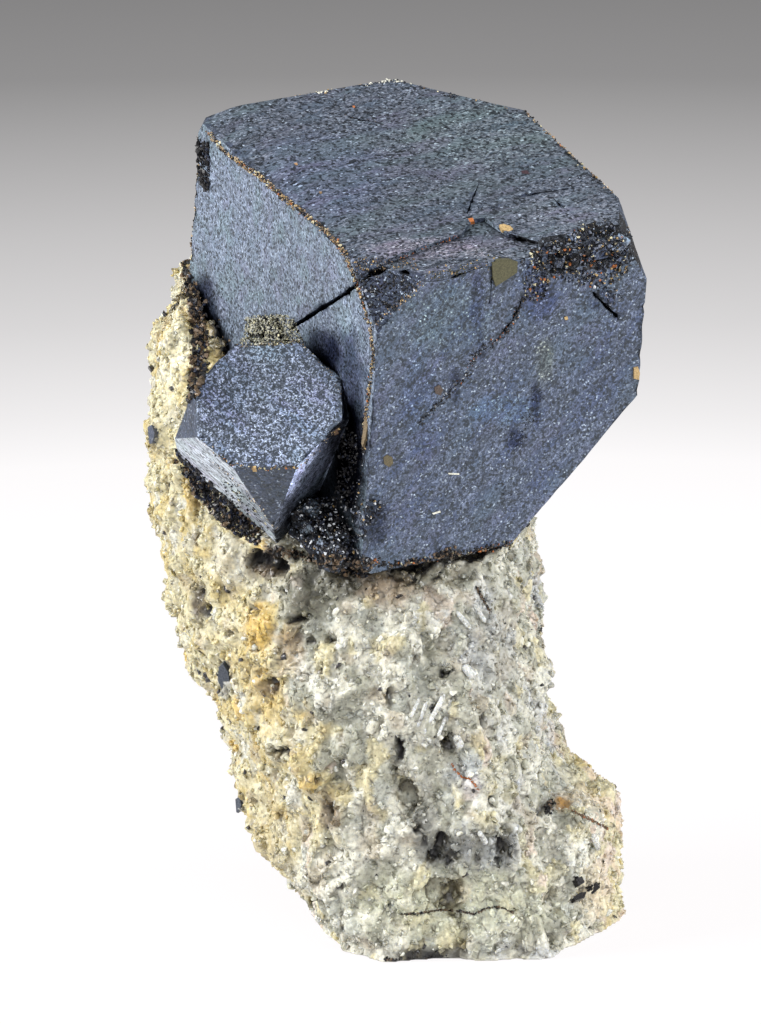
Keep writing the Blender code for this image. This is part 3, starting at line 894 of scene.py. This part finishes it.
# Lighter, darker and coloured parts of the crystals' faces, partly their own tone and partly painted light
# and shade:
# the face's outward direction, then for each part its middle, half-width and half-height in photo pixels and
# a factor on red, green and blue
FACE_SHADES = (
    (UP, (
        ((425, 249), 66, 13, (1.75, 1.50, 1.45)), ((500, 250), 40, 10, (1.3, 1.25, 1.2)),
        ((480, 135), 90, 40, (1.14, 1.20, 1.10)), ((570, 215), 55, 24, (1.35, 1.32, 1.28)),
        ((320, 180), 70, 50, (0.98, 1.0, 1.12)),
    )),
    # Left face: its four dark parts are painted shade, by the rock and beside the small crystal, darkest in
    # the gap
    (-RIGHT, (
        ((235, 200), 50, 70, (1.12, 1.12, 1.14)), ((203, 318), 18, 54, (0.20, 0.20, 0.26)),
        ((322, 350), 20, 26, (0.25, 0.25, 0.32)), ((340, 385), 30, 62, (0.30, 0.31, 0.40)),
        ((350, 456), 19, 70, (0.02, 0.02, 0.03)), ((352, 320), 14, 24, (1.25, 1.25, 1.25)),
    )),
    (-BACK, (
        ((450, 318), 48, 40, (1.04, 1.14, 1.0)), ((545, 360), 10, 30, (1.20, 1.12, 0.78)),
        ((477, 300), 8, 34, (0.62, 0.62, 0.80)), ((540, 300), 18, 26, (0.70, 0.72, 0.95)),
        ((515, 440), 11, 12, (0.35, 0.38, 0.50)), ((536, 404), 5, 24, (0.40, 0.42, 0.55)),
        ((420, 400), 20, 60, (0.85, 0.92, 1.05)), ((505, 410), 40, 16, (0.95, 1.15, 1.20)),
        ((590, 350), 30, 66, (0.96, 0.98, 1.01)), ((375, 520), 16, 26, (0.40, 0.40, 0.45)),
        ((480, 345), 5, 20, (0.50, 0.52, 0.65)), ((455, 385), 5, 24, (0.50, 0.52, 0.65)),
        ((600, 300), 16, 12, (0.5, 0.5, 0.65)),
    )),
    # The lift here paints light back into the painted shade of the small crystal's lower right side
    (SMALL_X, (
        ((306, 468), 34, 40, (3.9, 3.9, 4.2)),
    )),
    (-SMALL_Y, (
        ((258, 512), 22, 34, (0.50, 0.50, 0.54)), ((200, 452), 20, 16, (1.2, 1.2, 1.2)),
    )),
    (SMALL_Z, (
        ((222, 385), 34, 44, (0.72, 0.72, 0.78)), ((285, 432), 56, 34, (1.22, 1.22, 1.22)),
    )),
)


def face_shades(points, normals):
    """The factor on the crystals' colour at each point, from FACE_SHADES."""
    factor = np.ones((len(points), 3))
    x, y = photo_places(points)
    ragged = 0.4 * noise_at(points, 1.2 * MM, 14.0)
    for way, parts in FACE_SHADES:
        on_face = smooth(0.85, 0.93, normals @ np.array(way))
        for (middle_x, middle_y), wide, high, colour in parts:
            far = ((x - middle_x) / wide) ** 2 + ((y - middle_y) / high) ** 2
            share = on_face * smooth(0, 0.8, 1.15 - far + ragged)
            factor *= 1 + share[:, None] * (np.array(colour) - 1)
    return factor


def shade_crystals(mesh, rock_tree):
    """Paints shade into the crystals where they grow out of the rock or out of each other, and shades their
    faces.
    """
    points = coordinates(mesh)
    open_here = openness(points, point_normals(mesh), (tree_of(mesh), rock_tree), SHADE_REACH)
    near_rock = distances(points, rock_tree, CONTACT_REACH)
    light = smooth(0.15, 0.97, open_here) * smooth(0.1 * MM, 1.0 * MM, near_rock)
    set_tint(mesh, (0.06 + 0.94 * light)[:, None] * face_shades(points, point_normals(mesh)))


# Druse patches: each line's start and end in the large crystal's x, y, z in mm, and how far the druse reaches
DRUSE_LINES = (
    ((-1.2, 1.6, -23.4), (-1.6, 7.6, -22.4), 2.6), ((-0.1, 13.8, -11.5), (-0.1, 17.0, -12.9), 1.6),
    ((13.8, 0.9, -1.3), (21.0, 0.9, -1.3), 2.6),
)


def in_druse(points):
    """Whether each point lies near a line of druse."""
    near = np.zeros(len(points), bool)
    turn = LARGE_TURN.to_matrix()
    for start, end, reach in DRUSE_LINES:
        line = [LARGE_CORNER + turn @ (Vector(p) * MM) for p in (start, end)]
        near |= near_line(points, line) < reach * MM
    return near


# Direction of the large crystal's cut corner at the left, front and top, from where the cut meets its three
# edges in mm, and the turn of the smears on its front face
CORNER = (-RIGHT / 3.6 - BACK / 5.2 + UP / 4.3).normalized()
SMEAR_TURN = (LARGE_TURN.to_matrix() @ Matrix.Rotation(math.radians(-50), 3, "Y")).to_euler()

# Sides of the crystals: material, outward direction and look. How light or dark a side looks is partly its
# own tone and partly painted light and shade
SIDES = (
    ("cafarsite_left", -RIGHT, dict(
        dark=(0.046, 0.059, 0.092), light=(0.174, 0.208, 0.262), blotch=(0.100, 0.131, 0.176),
        grain=0.095, stretch=(1, 1, 1.6))),
    ("cafarsite_top", UP, dict(
        dark=(0.012, 0.020, 0.034), light=(0.130, 0.143, 0.178), blotch=(0.055, 0.075, 0.106),
        stretch=(1.6, 1, 1), gloss=0.2, rough=(0.66, 0.88))),
    ("cafarsite_octagon", SMALL_Z, dict(
        dark=(0.004, 0.006, 0.016), light=(0.230, 0.270, 0.370), blotch=(0.080, 0.105, 0.190), flecks=0.42,
        grain=0.085, turn=SMALL_TURN, tilt=0.4, sparkle=0.90, contrast=1.8, gloss=0.35,
        painted_glint=(0.38, 0.44, 0.54))),
    # The striated side's pale colour partly paints the light that it catches
    ("cafarsite_pale_lit", -SMALL_Y, dict(
        dark=(0.12, 0.14, 0.17), light=(0.56, 0.61, 0.68), blotch=(0.34, 0.37, 0.42),
        stretch=(6, 1, 1), turn=SMALL_TURN, contrast=0.8, painted_glint=(0.7, 0.7, 0.75))),
    # The small crystal's lower right side: painted shade in its tint makes it dark
    ("cafarsite_shaded", SMALL_X, dict(
        dark=(0.046, 0.054, 0.080), light=(0.275, 0.312, 0.410), blotch=(0.120, 0.140, 0.215),
        turn=SMALL_TURN)),
    ("cafarsite_corner", CORNER, dict(
        dark=(0.006, 0.008, 0.015), light=(0.046, 0.055, 0.086), blotch=(0.020, 0.026, 0.050),
        tilt=0.3, sparkle=0.93, contrast=1.3, gloss=0.12)),
    ("cafarsite_front", -BACK, dict(
        dark=(0.010, 0.015, 0.034), light=(0.096, 0.116, 0.172), blotch=(0.024, 0.038, 0.104), flecks=0.21,
        turn=SMEAR_TURN)),
)
OTHER_LOOKS = (
    ("cafarsite_other", dict(
        dark=(0.012, 0.016, 0.032), light=(0.050, 0.060, 0.092), blotch=(0.02, 0.032, 0.065))),
    ("cafarsite_druse", dict(
        dark=(0.004, 0.004, 0.005), light=(0.020, 0.019, 0.022), blotch=(0.03, 0.022, 0.018),
        tilt=0.6, contrast=1.3, gloss=0.15)),
)

# How well a face's direction has to match a side's to be part of it, and any flat face's not to be druse
SAME_SIDE = 0.97
FLAT_FACE = 0.985


def paint_faces(mesh):
    """Gives each face of the crystals the material of the side that it is on."""
    mesh.materials.clear()
    for name, *_, look in SIDES + OTHER_LOOKS:
        mesh.materials.append(cafarsite(name, **look))
    other, druse = len(SIDES), len(SIDES) + 1
    ways = np.array([way[:] for _, way, _ in SIDES])
    axes = (RIGHT, BACK, UP, SMALL_X, SMALL_Y, SMALL_Z)
    flat = [axis * sign for axis in axes for sign in (1, -1)] + [CORNER]
    around_druse = in_druse(np.array([face.center[:] for face in mesh.polygons]))
    for face, close in zip(mesh.polygons, around_druse):
        match = ways @ np.array(face.normal)
        face.material_index = int(match.argmax()) if match.max() > SAME_SIDE else other
        if close and max(face.normal.dot(way) for way in flat) < FLAT_FACE:
            face.material_index = druse


def cafarsite_crystals(rock_tree):
    """The two crystals: the solid with blunt edges, open cracks and a fine relief."""
    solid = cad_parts["cafarsite_crystals"].data
    tree = tree_of(solid)
    crystals = as_object("cafarsite_crystals_fine", bevelled_copy(solid))
    cutter = crack_cutter(tree)
    cut = crystals.modifiers.new("cracks", "BOOLEAN")
    cut.operation = "DIFFERENCE"
    cut.object = cutter
    cut.solver = "EXACT"
    cut.use_self = True
    mesh = evaluated_mesh(crystals)
    bpy.data.objects.remove(cutter, do_unlink=True)
    finely_cut(mesh)
    crystal_relief(mesh, tree)
    paint_faces(mesh)
    shade_crystals(mesh, rock_tree)
    mesh.shade_smooth()
    mesh.set_sharp_from_angle(angle=math.radians(28))
    piece = as_object("cafarsite_crystals_fine", mesh)
    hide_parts("cafarsite_crystals")
    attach(piece, "root")
    return tree_of(mesh)


# Druse, specks and flakes on the crystals

# Mixes of grains: share and colour
DARK_DRUSE = ((8, BLACK), (2.5, INK), (1.3, STEEL), (1.3, (0.62, 0.64, 0.67)), (0.3, OCHRE))
EDGE_DRUSE = ((4, BLACK), (2, OCHRE), (2, (0.36, 0.27, 0.18)), (2, BROWN), (0.8, CREAM), (0.4, RUST))
MIXED_DRUSE = ((8, BLACK), (4, INK), (0.5, RUST), (0.9, OCHRE), (0.7, CREAM), (2.2, STEEL))

# Patches as photo pixels: outline, number of grains, smallest and largest radius in mm, colours
PATCHES = (
    (((560, 240), (581, 225), (603, 219), (618, 230), (633, 258), (629, 270), (614, 283), (591, 289),
     (578, 285), (560, 279), (549, 283), (544, 302), (522, 300), (526, 268), (518, 263),
     (537, 248)), 1250, 0.06, 0.18, MIXED_DRUSE),
    (((592, 286), (612, 284), (624, 300), (610, 306)), 60, 0.06, 0.15, DARK_DRUSE),
    (((350, 268), (357, 272), (392, 272), (412, 276), (420, 286), (400, 300), (378, 322), (370, 326),
     (360, 300)), 330, 0.06, 0.15, ((9, BLACK), (1.5, INK), (0.3, (0.40, 0.42, 0.46)))),
    (((193, 143), (201, 139), (209, 143), (210, 190), (204, 192), (198, 168)), 260, 0.08, 0.28,
     ((5, BLACK), (1, INK))),
    (((300, 500), (340, 496), (387, 502), (376, 519), (367, 526), (368, 537), (351, 545), (365, 551),
     (338, 557), (300, 546), (292, 520)), 950, 0.05, 0.18, DARK_DRUSE),
    # Dark druse along the large crystal's foot, which also paints the shade there
    (((300, 540), (320, 545), (356, 551), (372, 560), (350, 562), (320, 556)), 160, 0.08, 0.2, DARK_DRUSE),
    (((180, 236), (186, 238), (193, 275), (204, 310), (209, 340), (207, 368), (196, 400), (187, 402),
     (190, 370), (192, 340), (189, 305), (183, 275)), 900, 0.10, 0.30,
     ((5, BLACK), (3, BROWN), (1, (0.10, 0.07, 0.04)), (1, INK))),
    (((176, 450), (197, 468), (216, 486), (236, 505), (262, 532), (258, 546), (232, 532), (212, 514),
     (192, 490)), 900, 0.10, 0.26, ((5, BLACK), (2, INK), (1, BROWN))),
    (((222, 478), (236, 486), (258, 512), (270, 528), (262, 534), (240, 512), (226, 494)), 150, 0.05, 0.13,
     ((5, BLACK), (1, CREAM))),
    (((318, 552), (345, 556), (374, 562), (366, 578), (340, 574), (322, 566)), 240, 0.10, 0.25,
     ((5, BLACK), (3, BROWN), (1, INK))),
    # Black grains in the gap beside the small crystal: painted shade
    (((345, 425), (358, 436), (358, 455), (354, 492), (344, 501), (334, 502), (338, 470)), 260, 0.07, 0.16,
     ((6, BLACK), (1, INK))),
    (((262, 545), (300, 552), (340, 560), (336, 568), (300, 560), (268, 552)), 160, 0.1, 0.24,
     ((4, BLACK), (3, BROWN))),
    (((240, 344), (245, 332), (246, 317), (264, 315), (286, 314), (295, 320), (304, 342),
     (270, 346)), 1250, 0.05, 0.13,
     ((3, (0.34, 0.33, 0.24)), (3, (0.48, 0.47, 0.39)), (2, OLIVE), (1.5, BLACK), (0.6, CREAM))),
    (((343, 256), (395, 259), (412, 256), (420, 270), (404, 268), (372, 272), (352, 276)), 320, 0.04, 0.11,
     ((6, BLACK), (2, BROWN), (1.5, OCHRE), (1, STEEL))),
)

# Lines of specks along edges, as photo pixels: points, number, scatter in pixels, radii in mm, colours
SPECK_LINES = (
    (((240, 347), (262, 344), (300, 341)), 130, 0.5, 0.03, 0.07, EDGE_DRUSE),
    (((209, 133), (225, 152), (258, 175), (284, 198), (325, 230), (340, 247),
     (346, 256)), 950, 1.2, 0.05, 0.15, EDGE_DRUSE),
    (((347, 258), (356, 280), (364, 305), (371, 330), (374, 352), (371, 380), (366, 415),
     (364, 449)), 620, 0.9, 0.05, 0.14, EDGE_DRUSE),
    (((364, 449), (360, 480), (357, 500)), 60, 1.5, 0.05, 0.1, DARK_DRUSE),
    (((372, 326), (384, 316), (400, 302), (416, 289), (424, 280)), 90, 2.0, 0.05, 0.12, EDGE_DRUSE),
    (((424, 277), (445, 272), (474, 266), (497, 258)), 130, 3.0, 0.05, 0.10,
     ((4, OLIVE), (2, OCHRE), (1, BLACK))),
    (((398, 258), (418, 251), (430, 246), (449, 239), (460, 235)), 60, 1.0, 0.04, 0.09,
     ((3, BLACK), (2, RUST))),
    (((522, 300), (513, 321), (498, 340), (474, 354), (468, 375), (453, 388), (439, 403),
     (418, 424)), 330, 1.8, 0.04, 0.13, ((7, BLACK), (0.6, RUST), (1, (0.40, 0.42, 0.45)))),
    (((203, 443), (230, 463), (257, 469), (301, 466), (341, 425)), 130, 1.2, 0.04, 0.11, EDGE_DRUSE),
    (((236, 345), (301, 344), (330, 372), (342, 394)), 70, 0.9, 0.03, 0.08, EDGE_DRUSE),
    (((176, 462), (197, 481), (216, 500), (230, 515), (254, 538)), 150, 2.6, 0.09, 0.24,
     ((4, BLACK), (2, BROWN))),
    (((214, 462), (242, 488), (263, 512), (277, 531)), 90, 1.2, 0.04, 0.11,
     ((4, BLACK), (2, TAN), (1, BROWN))),
    (((366, 85), (378, 81.5), (395, 81), (412, 83)), 60, 0.8, 0.06, 0.14, ((5, SUGAR), (1, BLACK))),
    (((318, 93), (328, 91)), 14, 0.6, 0.06, 0.13, ((4, SUGAR), (1, OCHRE))),
    (((425, 86), (434, 84), (443, 88)), 60, 1.2, 0.06, 0.17, ((5, BLACK), (1, STEEL))),
    (((448, 93), (453, 98), (458, 96)), 40, 2.2, 0.05, 0.12, ((3, BLACK), (3, INK))),
    (((625, 212), (630, 229), (640, 251), (645, 270)), 50, 1.2, 0.04, 0.10, EDGE_DRUSE),
    (((376, 122), (360, 119), (346, 115)), 25, 1.0, 0.03, 0.06, ((3, BLACK), (1, BROWN))),
    (((540, 388), (536, 402), (528, 425), (516, 445)), 120, 5.0, 0.04, 0.10,
     ((5, INK), (2, BLACK), (1, STEEL))),
    (((503, 480), (504, 500)), 40, 3.0, 0.04, 0.09, ((5, BLACK), (1, STEEL))),
    # Dark druse along the large crystal's foot, which also paints the shade there
    (((356, 559), (391, 565), (420, 561), (470, 552), (510, 544)), 420, 1.8, 0.05, 0.17,
     ((6, BLACK), (2, BROWN), (0.6, RUST), (0.5, CREAM))),
    (((436, 556), (446, 552), (454, 553)), 90, 2.2, 0.08, 0.2, ((4, BLACK), (2, BROWN))),
    (((452, 764), (456, 772), (462, 777), (470, 779), (474, 784), (478, 790)), 130, 0.5, 0.05, 0.10,
     ((4, RUST), (1, BROWN))),
    (((476, 586), (482, 597), (490, 612)), 90, 0.7, 0.06, 0.13, ((2, BLACK), (2, BROWN))),
    (((400, 914), (414, 914), (441, 910), (460, 911), (474, 914), (487, 908), (500, 907),
     (516, 914)), 420, 0.5, 0.05, 0.11, ((3, BLACK), (2, BROWN))),
    (((573, 811), (585, 817), (596, 822), (608, 829)), 160, 0.6, 0.05, 0.11, ((1, RUST), (3, BROWN))),
    (((575, 878), (580, 880)), 60, 0.9, 0.05, 0.14, ((1, BLACK),)),
    (((587, 889), (597, 884)), 70, 0.9, 0.05, 0.14, ((1, BLACK),)),
    (((571, 900), (577, 899), (582, 894)), 60, 0.7, 0.05, 0.12, ((1, BLACK),)),
    (((547, 812), (550, 803)), 90, 1.6, 0.08, 0.2, ((3, BLACK), (1, BROWN))),
    # Black specks along the front of the foot: dark mineral and the foot's painted shadow
    (((384, 960), (400, 961.5), (420, 960), (446, 957)), 170, 1.0, 0.06, 0.16, ((6, BLACK), (1, BROWN))),
)

# Single flat flakes and inclusions, as photo pixels: outline of the flake, thickness in mm, colour
FLAKES = (
    (((491.5, 262), (500, 259.5), (508, 259), (517, 261), (516.5, 272), (506, 279), (495, 286),
     (492, 276)), 0.12, OLIVE),
    (((499, 226), (503, 225), (510, 227), (513, 230), (509, 232.5), (502, 231)), 0.14, OCHRE),
    (((468, 219.5), (473, 218.5), (474.5, 222), (470, 223)), 0.10, RUST),
    (((383, 457), (387, 454.5), (392, 457), (393, 463), (389, 467), (384, 464)), 0.06, (0.11, 0.09, 0.05)),
    (((434, 387), (439, 384.5), (443, 389), (440, 395), (435, 393)), 0.07, (0.08, 0.06, 0.05)),
    (((366, 404), (369, 402), (370, 410), (369, 422), (366, 438), (363, 447), (362, 443), (364, 428),
     (366, 412)), 0.08, (0.16, 0.12, 0.07)),
    (((564, 317), (567, 316), (568, 319), (565, 320)), 0.06, OCHRE),
    (((332, 428), (337, 428.5), (338, 433), (334, 435)), 0.08, (0.14, 0.09, 0.06)),
    (((294, 163.5), (297, 163), (298, 165), (296, 165.5)), 0.05, (0.34, 0.20, 0.10)),
    (((319, 192), (322, 192), (322, 193.5), (320, 194)), 0.05, (0.26, 0.17, 0.09)),
    (((352.5, 106), (355, 106), (355, 108), (353, 108)), 0.05, RUST),
    (((633, 367), (637, 366), (639, 372), (638, 379), (633, 378)), 0.16, OCHRE),
    (((252, 467.5), (256, 467), (257, 471), (253, 471)), 0.08, OCHRE),
    (((448, 472.8), (459, 473.2), (459, 474.6), (448, 474)), 0.05, SUGAR),
    (((432, 513), (440, 510.6), (440.5, 512), (433, 514.4)), 0.05, SUGAR),
    (((521, 171), (527, 170.5), (530, 174), (524, 176)), 0.04, (0.05, 0.028, 0.035)),
)

# Mica plates on the rock, in the same way
MICA = (
    (((574, 880), (580, 877), (583, 883), (577, 887)), 0.2, BLACK),
    (((588, 887), (596, 882), (600, 886), (592, 893)), 0.2, BLACK),
    (((571, 899), (578, 894), (585, 893), (583, 899), (574, 902)), 0.2, BLACK),
    (((220, 665), (224, 662), (229, 670), (231, 680), (229, 692), (224, 690),
     (219, 678)), 0.25, (0.06, 0.07, 0.09)),
    (((150, 427), (154, 425), (157, 433), (155, 443), (152, 444)), 0.25, (0.08, 0.09, 0.12)),
    (((237, 798), (241, 796), (243, 804), (240, 812), (238, 811)), 0.2, (0.06, 0.07, 0.09)),
    (((627, 893), (632, 890), (634, 901), (630, 909), (627, 904)), 0.2, STEEL),
)

# White blades on the rock, as photo pixels: two ends of each, and its width in mm
BLADES = (
    ((417, 727), (427, 701), 0.34), ((424, 734), (434, 712), 0.30), ((430, 722), (445, 694), 0.40),
    ((438, 736), (446, 716), 0.28), ((411, 717), (420, 697), 0.28), ((447, 722), (451, 700), 0.26),
    ((456, 611), (471, 629), 0.40), ((474, 605), (486, 623), 0.38), ((463, 666), (474, 678), 0.80),
    ((456, 735), (462, 748), 0.70), ((478, 832), (486, 844), 0.5), ((592, 835), (598, 850), 0.6),
)


def inside(outline, x, y):
    """Whether a pixel lies in an outline, by counting the sides to its right."""
    hit = False
    for (x0, y0), (x1, y1) in zip(outline, outline[1:] + outline[:1]):
        if (y0 > y) != (y1 > y) and x < x0 + (y - y0) * (x1 - x0) / (y1 - y0):
            hit = not hit
    return hit


def patch_pixels(outline, count, rng):
    xs = [p[0] for p in outline]
    ys = [p[1] for p in outline]
    found = []
    while len(found) < count:
        x, y = rng.uniform(min(xs), max(xs)), rng.uniform(min(ys), max(ys))
        if inside(outline, x, y):
            found.append((x, y))
    return found


def line_pixels(points, count, scatter, rng):
    """Pixels spread along a line of points, thicker in some stretches than in others."""
    lengths = [math.dist(a, b) for a, b in zip(points, points[1:])]
    found = []
    for _ in range(count):
        i = rng.choices(range(len(lengths)), lengths)[0]
        share = rng.random()
        (x0, y0), (x1, y1) = points[i], points[i + 1]
        x = x0 + (x1 - x0) * share + rng.gauss(0, scatter)
        found.append((x, y0 + (y1 - y0) * share + rng.gauss(0, scatter)))
    return found


def grains_at(pixels, low, high, choices, trees, rng, grains):
    """Adds a grain where each pixel's ray first meets a surface: place, radius and colour."""
    generator = np.random.default_rng(rng.randrange(10 ** 6))
    colours = palette(len(pixels), generator, choices)
    for pixel, colour in zip(pixels, colours):
        hit = nearest_hit(trees, pixel)
        if not hit:
            continue
        place, normal = hit[:2]
        radius = (low + (high - low) * rng.random() ** 1.6) * MM
        middle = place + normal * radius * rng.uniform(0.0, 0.6)
        middle.z = max(middle.z, (1 + UNEVEN) * radius)
        grains.append((middle, radius, colour))


def crystal_edges():
    """The large crystal's edges that the photo doesn't show, each from one point to another."""
    width, depth, height = (size * MM for size in LARGE_SIZE)

    def at(x, y, z):
        return LARGE_CORNER + RIGHT * x * width + BACK * y * depth + UP * -z * height

    return (
        (at(0.02, 1, 0.05), at(0.66, 1, 0.0)), (at(1, 0.68, 0), at(1, 0.2, 0)),
        (at(1, 1, 0.33), at(1, 1, 0.66)), (at(1, 0.05, 0.18), at(1, 0.02, 0.56)),
        (at(0, 1, 0.08), at(0, 1, 0.5)), (at(1, 0.4, 1), at(1, 0.7, 1)),
        (at(0.36, 1, 0), at(0.72, 1, 0)), (at(0.7, 0.98, 0.02), at(0.98, 0.7, 0.02)),
    )


# Specks to a millimetre of the edges behind, and how near the rock the crystals' druse starts
SPECKS_BEHIND = 9
CONTACT_BAND = 0.7 * MM


def scattered(spread, rng):
    """A random step in space, in millimetres."""
    return Vector([rng.gauss(0, spread) for _ in range(3)]) * MM


def far_side_grains(tree, rng, grains):
    """Specks along the edges behind, in the same mix."""
    for start, end in crystal_edges():
        generator = np.random.default_rng(rng.randrange(10 ** 6))
        count = int((end - start).length / MM * SPECKS_BEHIND)
        for colour in palette(count, generator, EDGE_DRUSE):
            aside = scattered(0.16, rng)
            place, normal = tree.find_nearest(start.lerp(end, rng.random()) + aside)[:2]
            radius = rng.uniform(0.05, 0.14) * MM
            grains.append((place + normal * radius * 0.3, radius, colour))


def contact_grains(rock_tree, rng, grains):
    """Black and brown druse all the way round where the crystals come out of the rock, which also paints the
    shade there.
    """
    generator = np.random.default_rng(31)
    points = coordinates(bpy.data.objects["cafarsite_crystals_fine"].data)
    for point in generator.permutation(points):
        place = rock_tree.find_nearest(Vector(point), CONTACT_BAND)[0]
        if place is None or rng.random() > 0.55:
            continue
        colour = rng.choice((BLACK, BLACK, INK, BROWN, (0.06, 0.045, 0.03)))
        radius = rng.uniform(0.10, 0.26) * MM
        middle = Vector(point).lerp(place, rng.random()) + scattered(0.2, rng)
        grains.append((middle, radius, np.array(colour) * rng.uniform(0.7, 1.8)))


def druse_and_specks(trees):
    rng = random.Random(12)
    grains = []
    for outline, count, low, high, choices in PATCHES:
        grains_at(patch_pixels(outline, count, rng), low, high, choices, trees, rng, grains)
    for points, count, scatter, low, high, choices in SPECK_LINES:
        grains_at(line_pixels(points, count, scatter, rng), low, high, choices, trees, rng, grains)
    far_side_grains(trees[0], rng, grains)
    contact_grains(trees[1], rng, grains)
    places, sizes, colours = (np.array([grain[k] for grain in grains]) for k in range(3))
    stones = stone_templates(count=10, corners=8, seed=6)
    mesh = grain_mesh("druse_grains", places, sizes, colours, stones, 9)
    finished("druse_grains", mesh, gritty("druse", 0.34))


# How deep a plate's underside lies in the surface, in mm, and how far a plate has to face the camera
PLATE_SUNK = 0.2
PLATE_FACES = 0.5


def plates(name, shapes, trees, material):
    """Thin flat plates that lie on a surface."""
    body = bmesh.new()
    layer = body.verts.layers.float_color.new("tint")
    for outline, thickness, colour in shapes:
        middle = [sum(values) / len(outline) for values in zip(*outline)]
        hit = nearest_hit(trees, middle)
        if not hit:
            continue
        place, normal = hit[:2]
        if normal.dot(TO_CAMERA) < PLATE_FACES:
            normal = (normal + TO_CAMERA * PLATE_FACES).normalized()
        rims = ([], [])
        for pixel in outline:
            start, way = through(pixel)
            point = start + way * ((place - start).dot(normal) / way.dot(normal))
            for rim, height in zip(rims, (-PLATE_SUNK, thickness)):
                vert = body.verts.new(point + normal * height * MM)
                vert[layer] = (*colour, 1)
                rim.append(vert)
        skin(body, rims)
    finished(name, closed_mesh(name, body), material)


# Rings of a blade: how far along it each is and its width there, as shares of the whole. Then how thick a
# blade is for its width, how high it lies in mm, and its colour
BLADE_RINGS = ((0, 0.35), (0.12, 0.9), (0.85, 1.0), (1, 0.3))
BLADE_FLATNESS = 0.8
BLADE_LIFT = 0.15
BLADE_TINT = (0.78, 0.79, 0.76, 1)


def blades(trees):
    """Six-sided glassy blades that lie on the rock, narrower at their ends."""
    body = bmesh.new()
    layer = body.verts.layers.float_color.new("tint")
    for start, end, width in BLADES:
        hits = [nearest_hit(trees, pixel) for pixel in (start, end)]
        up = (hits[0][1] + hits[1][1] + TO_CAMERA).normalized()
        a, b = (hit[0] + up * BLADE_LIFT * MM for hit in hits)
        side = (b - a).cross(up).normalized()
        up = side.cross(b - a).normalized()
        rings = []
        for share, size in BLADE_RINGS:
            half = width * MM / 2 * size
            ring = []
            for k in range(6):
                across = side * half * math.cos(k * math.pi / 3)
                upward = up * half * BLADE_FLATNESS * math.sin(k * math.pi / 3)
                vert = body.verts.new(a.lerp(b, share) + across + upward)
                vert[layer] = BLADE_TINT
                ring.append(vert)
            rings.append(ring)
        skin(body, rings)
    finished("white_blades", closed_mesh("white_blades", body), sugar("white_blades", 0.3, 0.25))


# Floor and light

# Floor: distance from the middle in mm, and how bright it looks there
FLOOR_TONES = (
    (116, 1.0), (136, 0.96), (151, 0.85), (180, 0.675), (209, 0.545), (238, 0.40), (262, 0.28), (300, 0.22),
)
FLOOR_REACH = 300
FLOOR_RADIUS = 3.0
FLOOR_DROP = 0.05 * MM


def floor():
    """A round pale table that glows like a light table, white around the specimen and greyer far away."""
    bpy.ops.mesh.primitive_circle_add(
        vertices=96, radius=FLOOR_RADIUS, fill_type="NGON", location=(0, 0, -FLOOR_DROP))
    table = bpy.context.object
    table.name = "floor"
    made = Nodes("floor")
    where = made.add("ShaderNodeTexCoord").outputs["Object"]
    length = made.add("ShaderNodeVectorMath", {0: where}, operation="LENGTH").outputs["Value"]
    stops = [(place / FLOOR_REACH, (tone * 1.02, tone, tone * 1.005)) for place, tone in FLOOR_TONES]
    colour = made.ramp(made.grey(length, 0, FLOOR_REACH * MM), stops)
    table.data.materials.append(made.finish({
        "Base Color": made.mix(1.0, colour, (0.08, 0.08, 0.08), "MULTIPLY"),
        "Emission Color": colour,
        "Emission Strength": 0.90,
        "Roughness": 0.9,
        "Specular IOR Level": 0.0,
    }))


# Soft lights: place in metres, width and height, and power in watts. All aim at the middle of the specimen
SOFTBOXES = {
    "key": ((-0.70, -0.20, 0.36), (0.45, 0.45), 9.5),
    "front": ((0.15, -0.7, 0.5), (0.5, 0.3), 3.2),
    "right": ((0.75, -0.15, 0.22), (0.4, 0.4), 5.5),
}
AIM = Vector((-0.004, 0, 0.035))


def softbox(name, place, size, power):
    light = bpy.data.lights.new(name, "AREA")
    light.shape = "RECTANGLE"
    light.size, light.size_y = size
    light.energy = power
    holder = bpy.data.objects.new(name, light)
    holder.location = place
    holder.rotation_euler = (AIM - Vector(place)).to_track_quat("-Z", "Y").to_euler()
    bpy.context.scene.collection.objects.link(holder)


def light():
    world = bpy.data.worlds.new("studio")
    bpy.context.scene.world = world
    world.use_nodes = True
    sky = world.node_tree.nodes["Background"]
    sky.inputs["Color"].default_value = (0.96, 0.98, 1.0, 1)
    sky.inputs["Strength"].default_value = 0.5
    for name, settings in SOFTBOXES.items():
        softbox(name, *settings)
    bpy.context.scene.view_settings.view_transform = "Standard"


make_camera()
floor()
light()
rock_tree = gneiss()
crystal_tree = cafarsite_crystals(rock_tree)
trees = (crystal_tree, rock_tree)
druse_and_specks(trees)
plates("face_flakes", FLAKES, trees, gritty("flakes", 0.45))
plates("mica_plates", MICA, trees, gritty("mica", 0.3))
blades(trees)
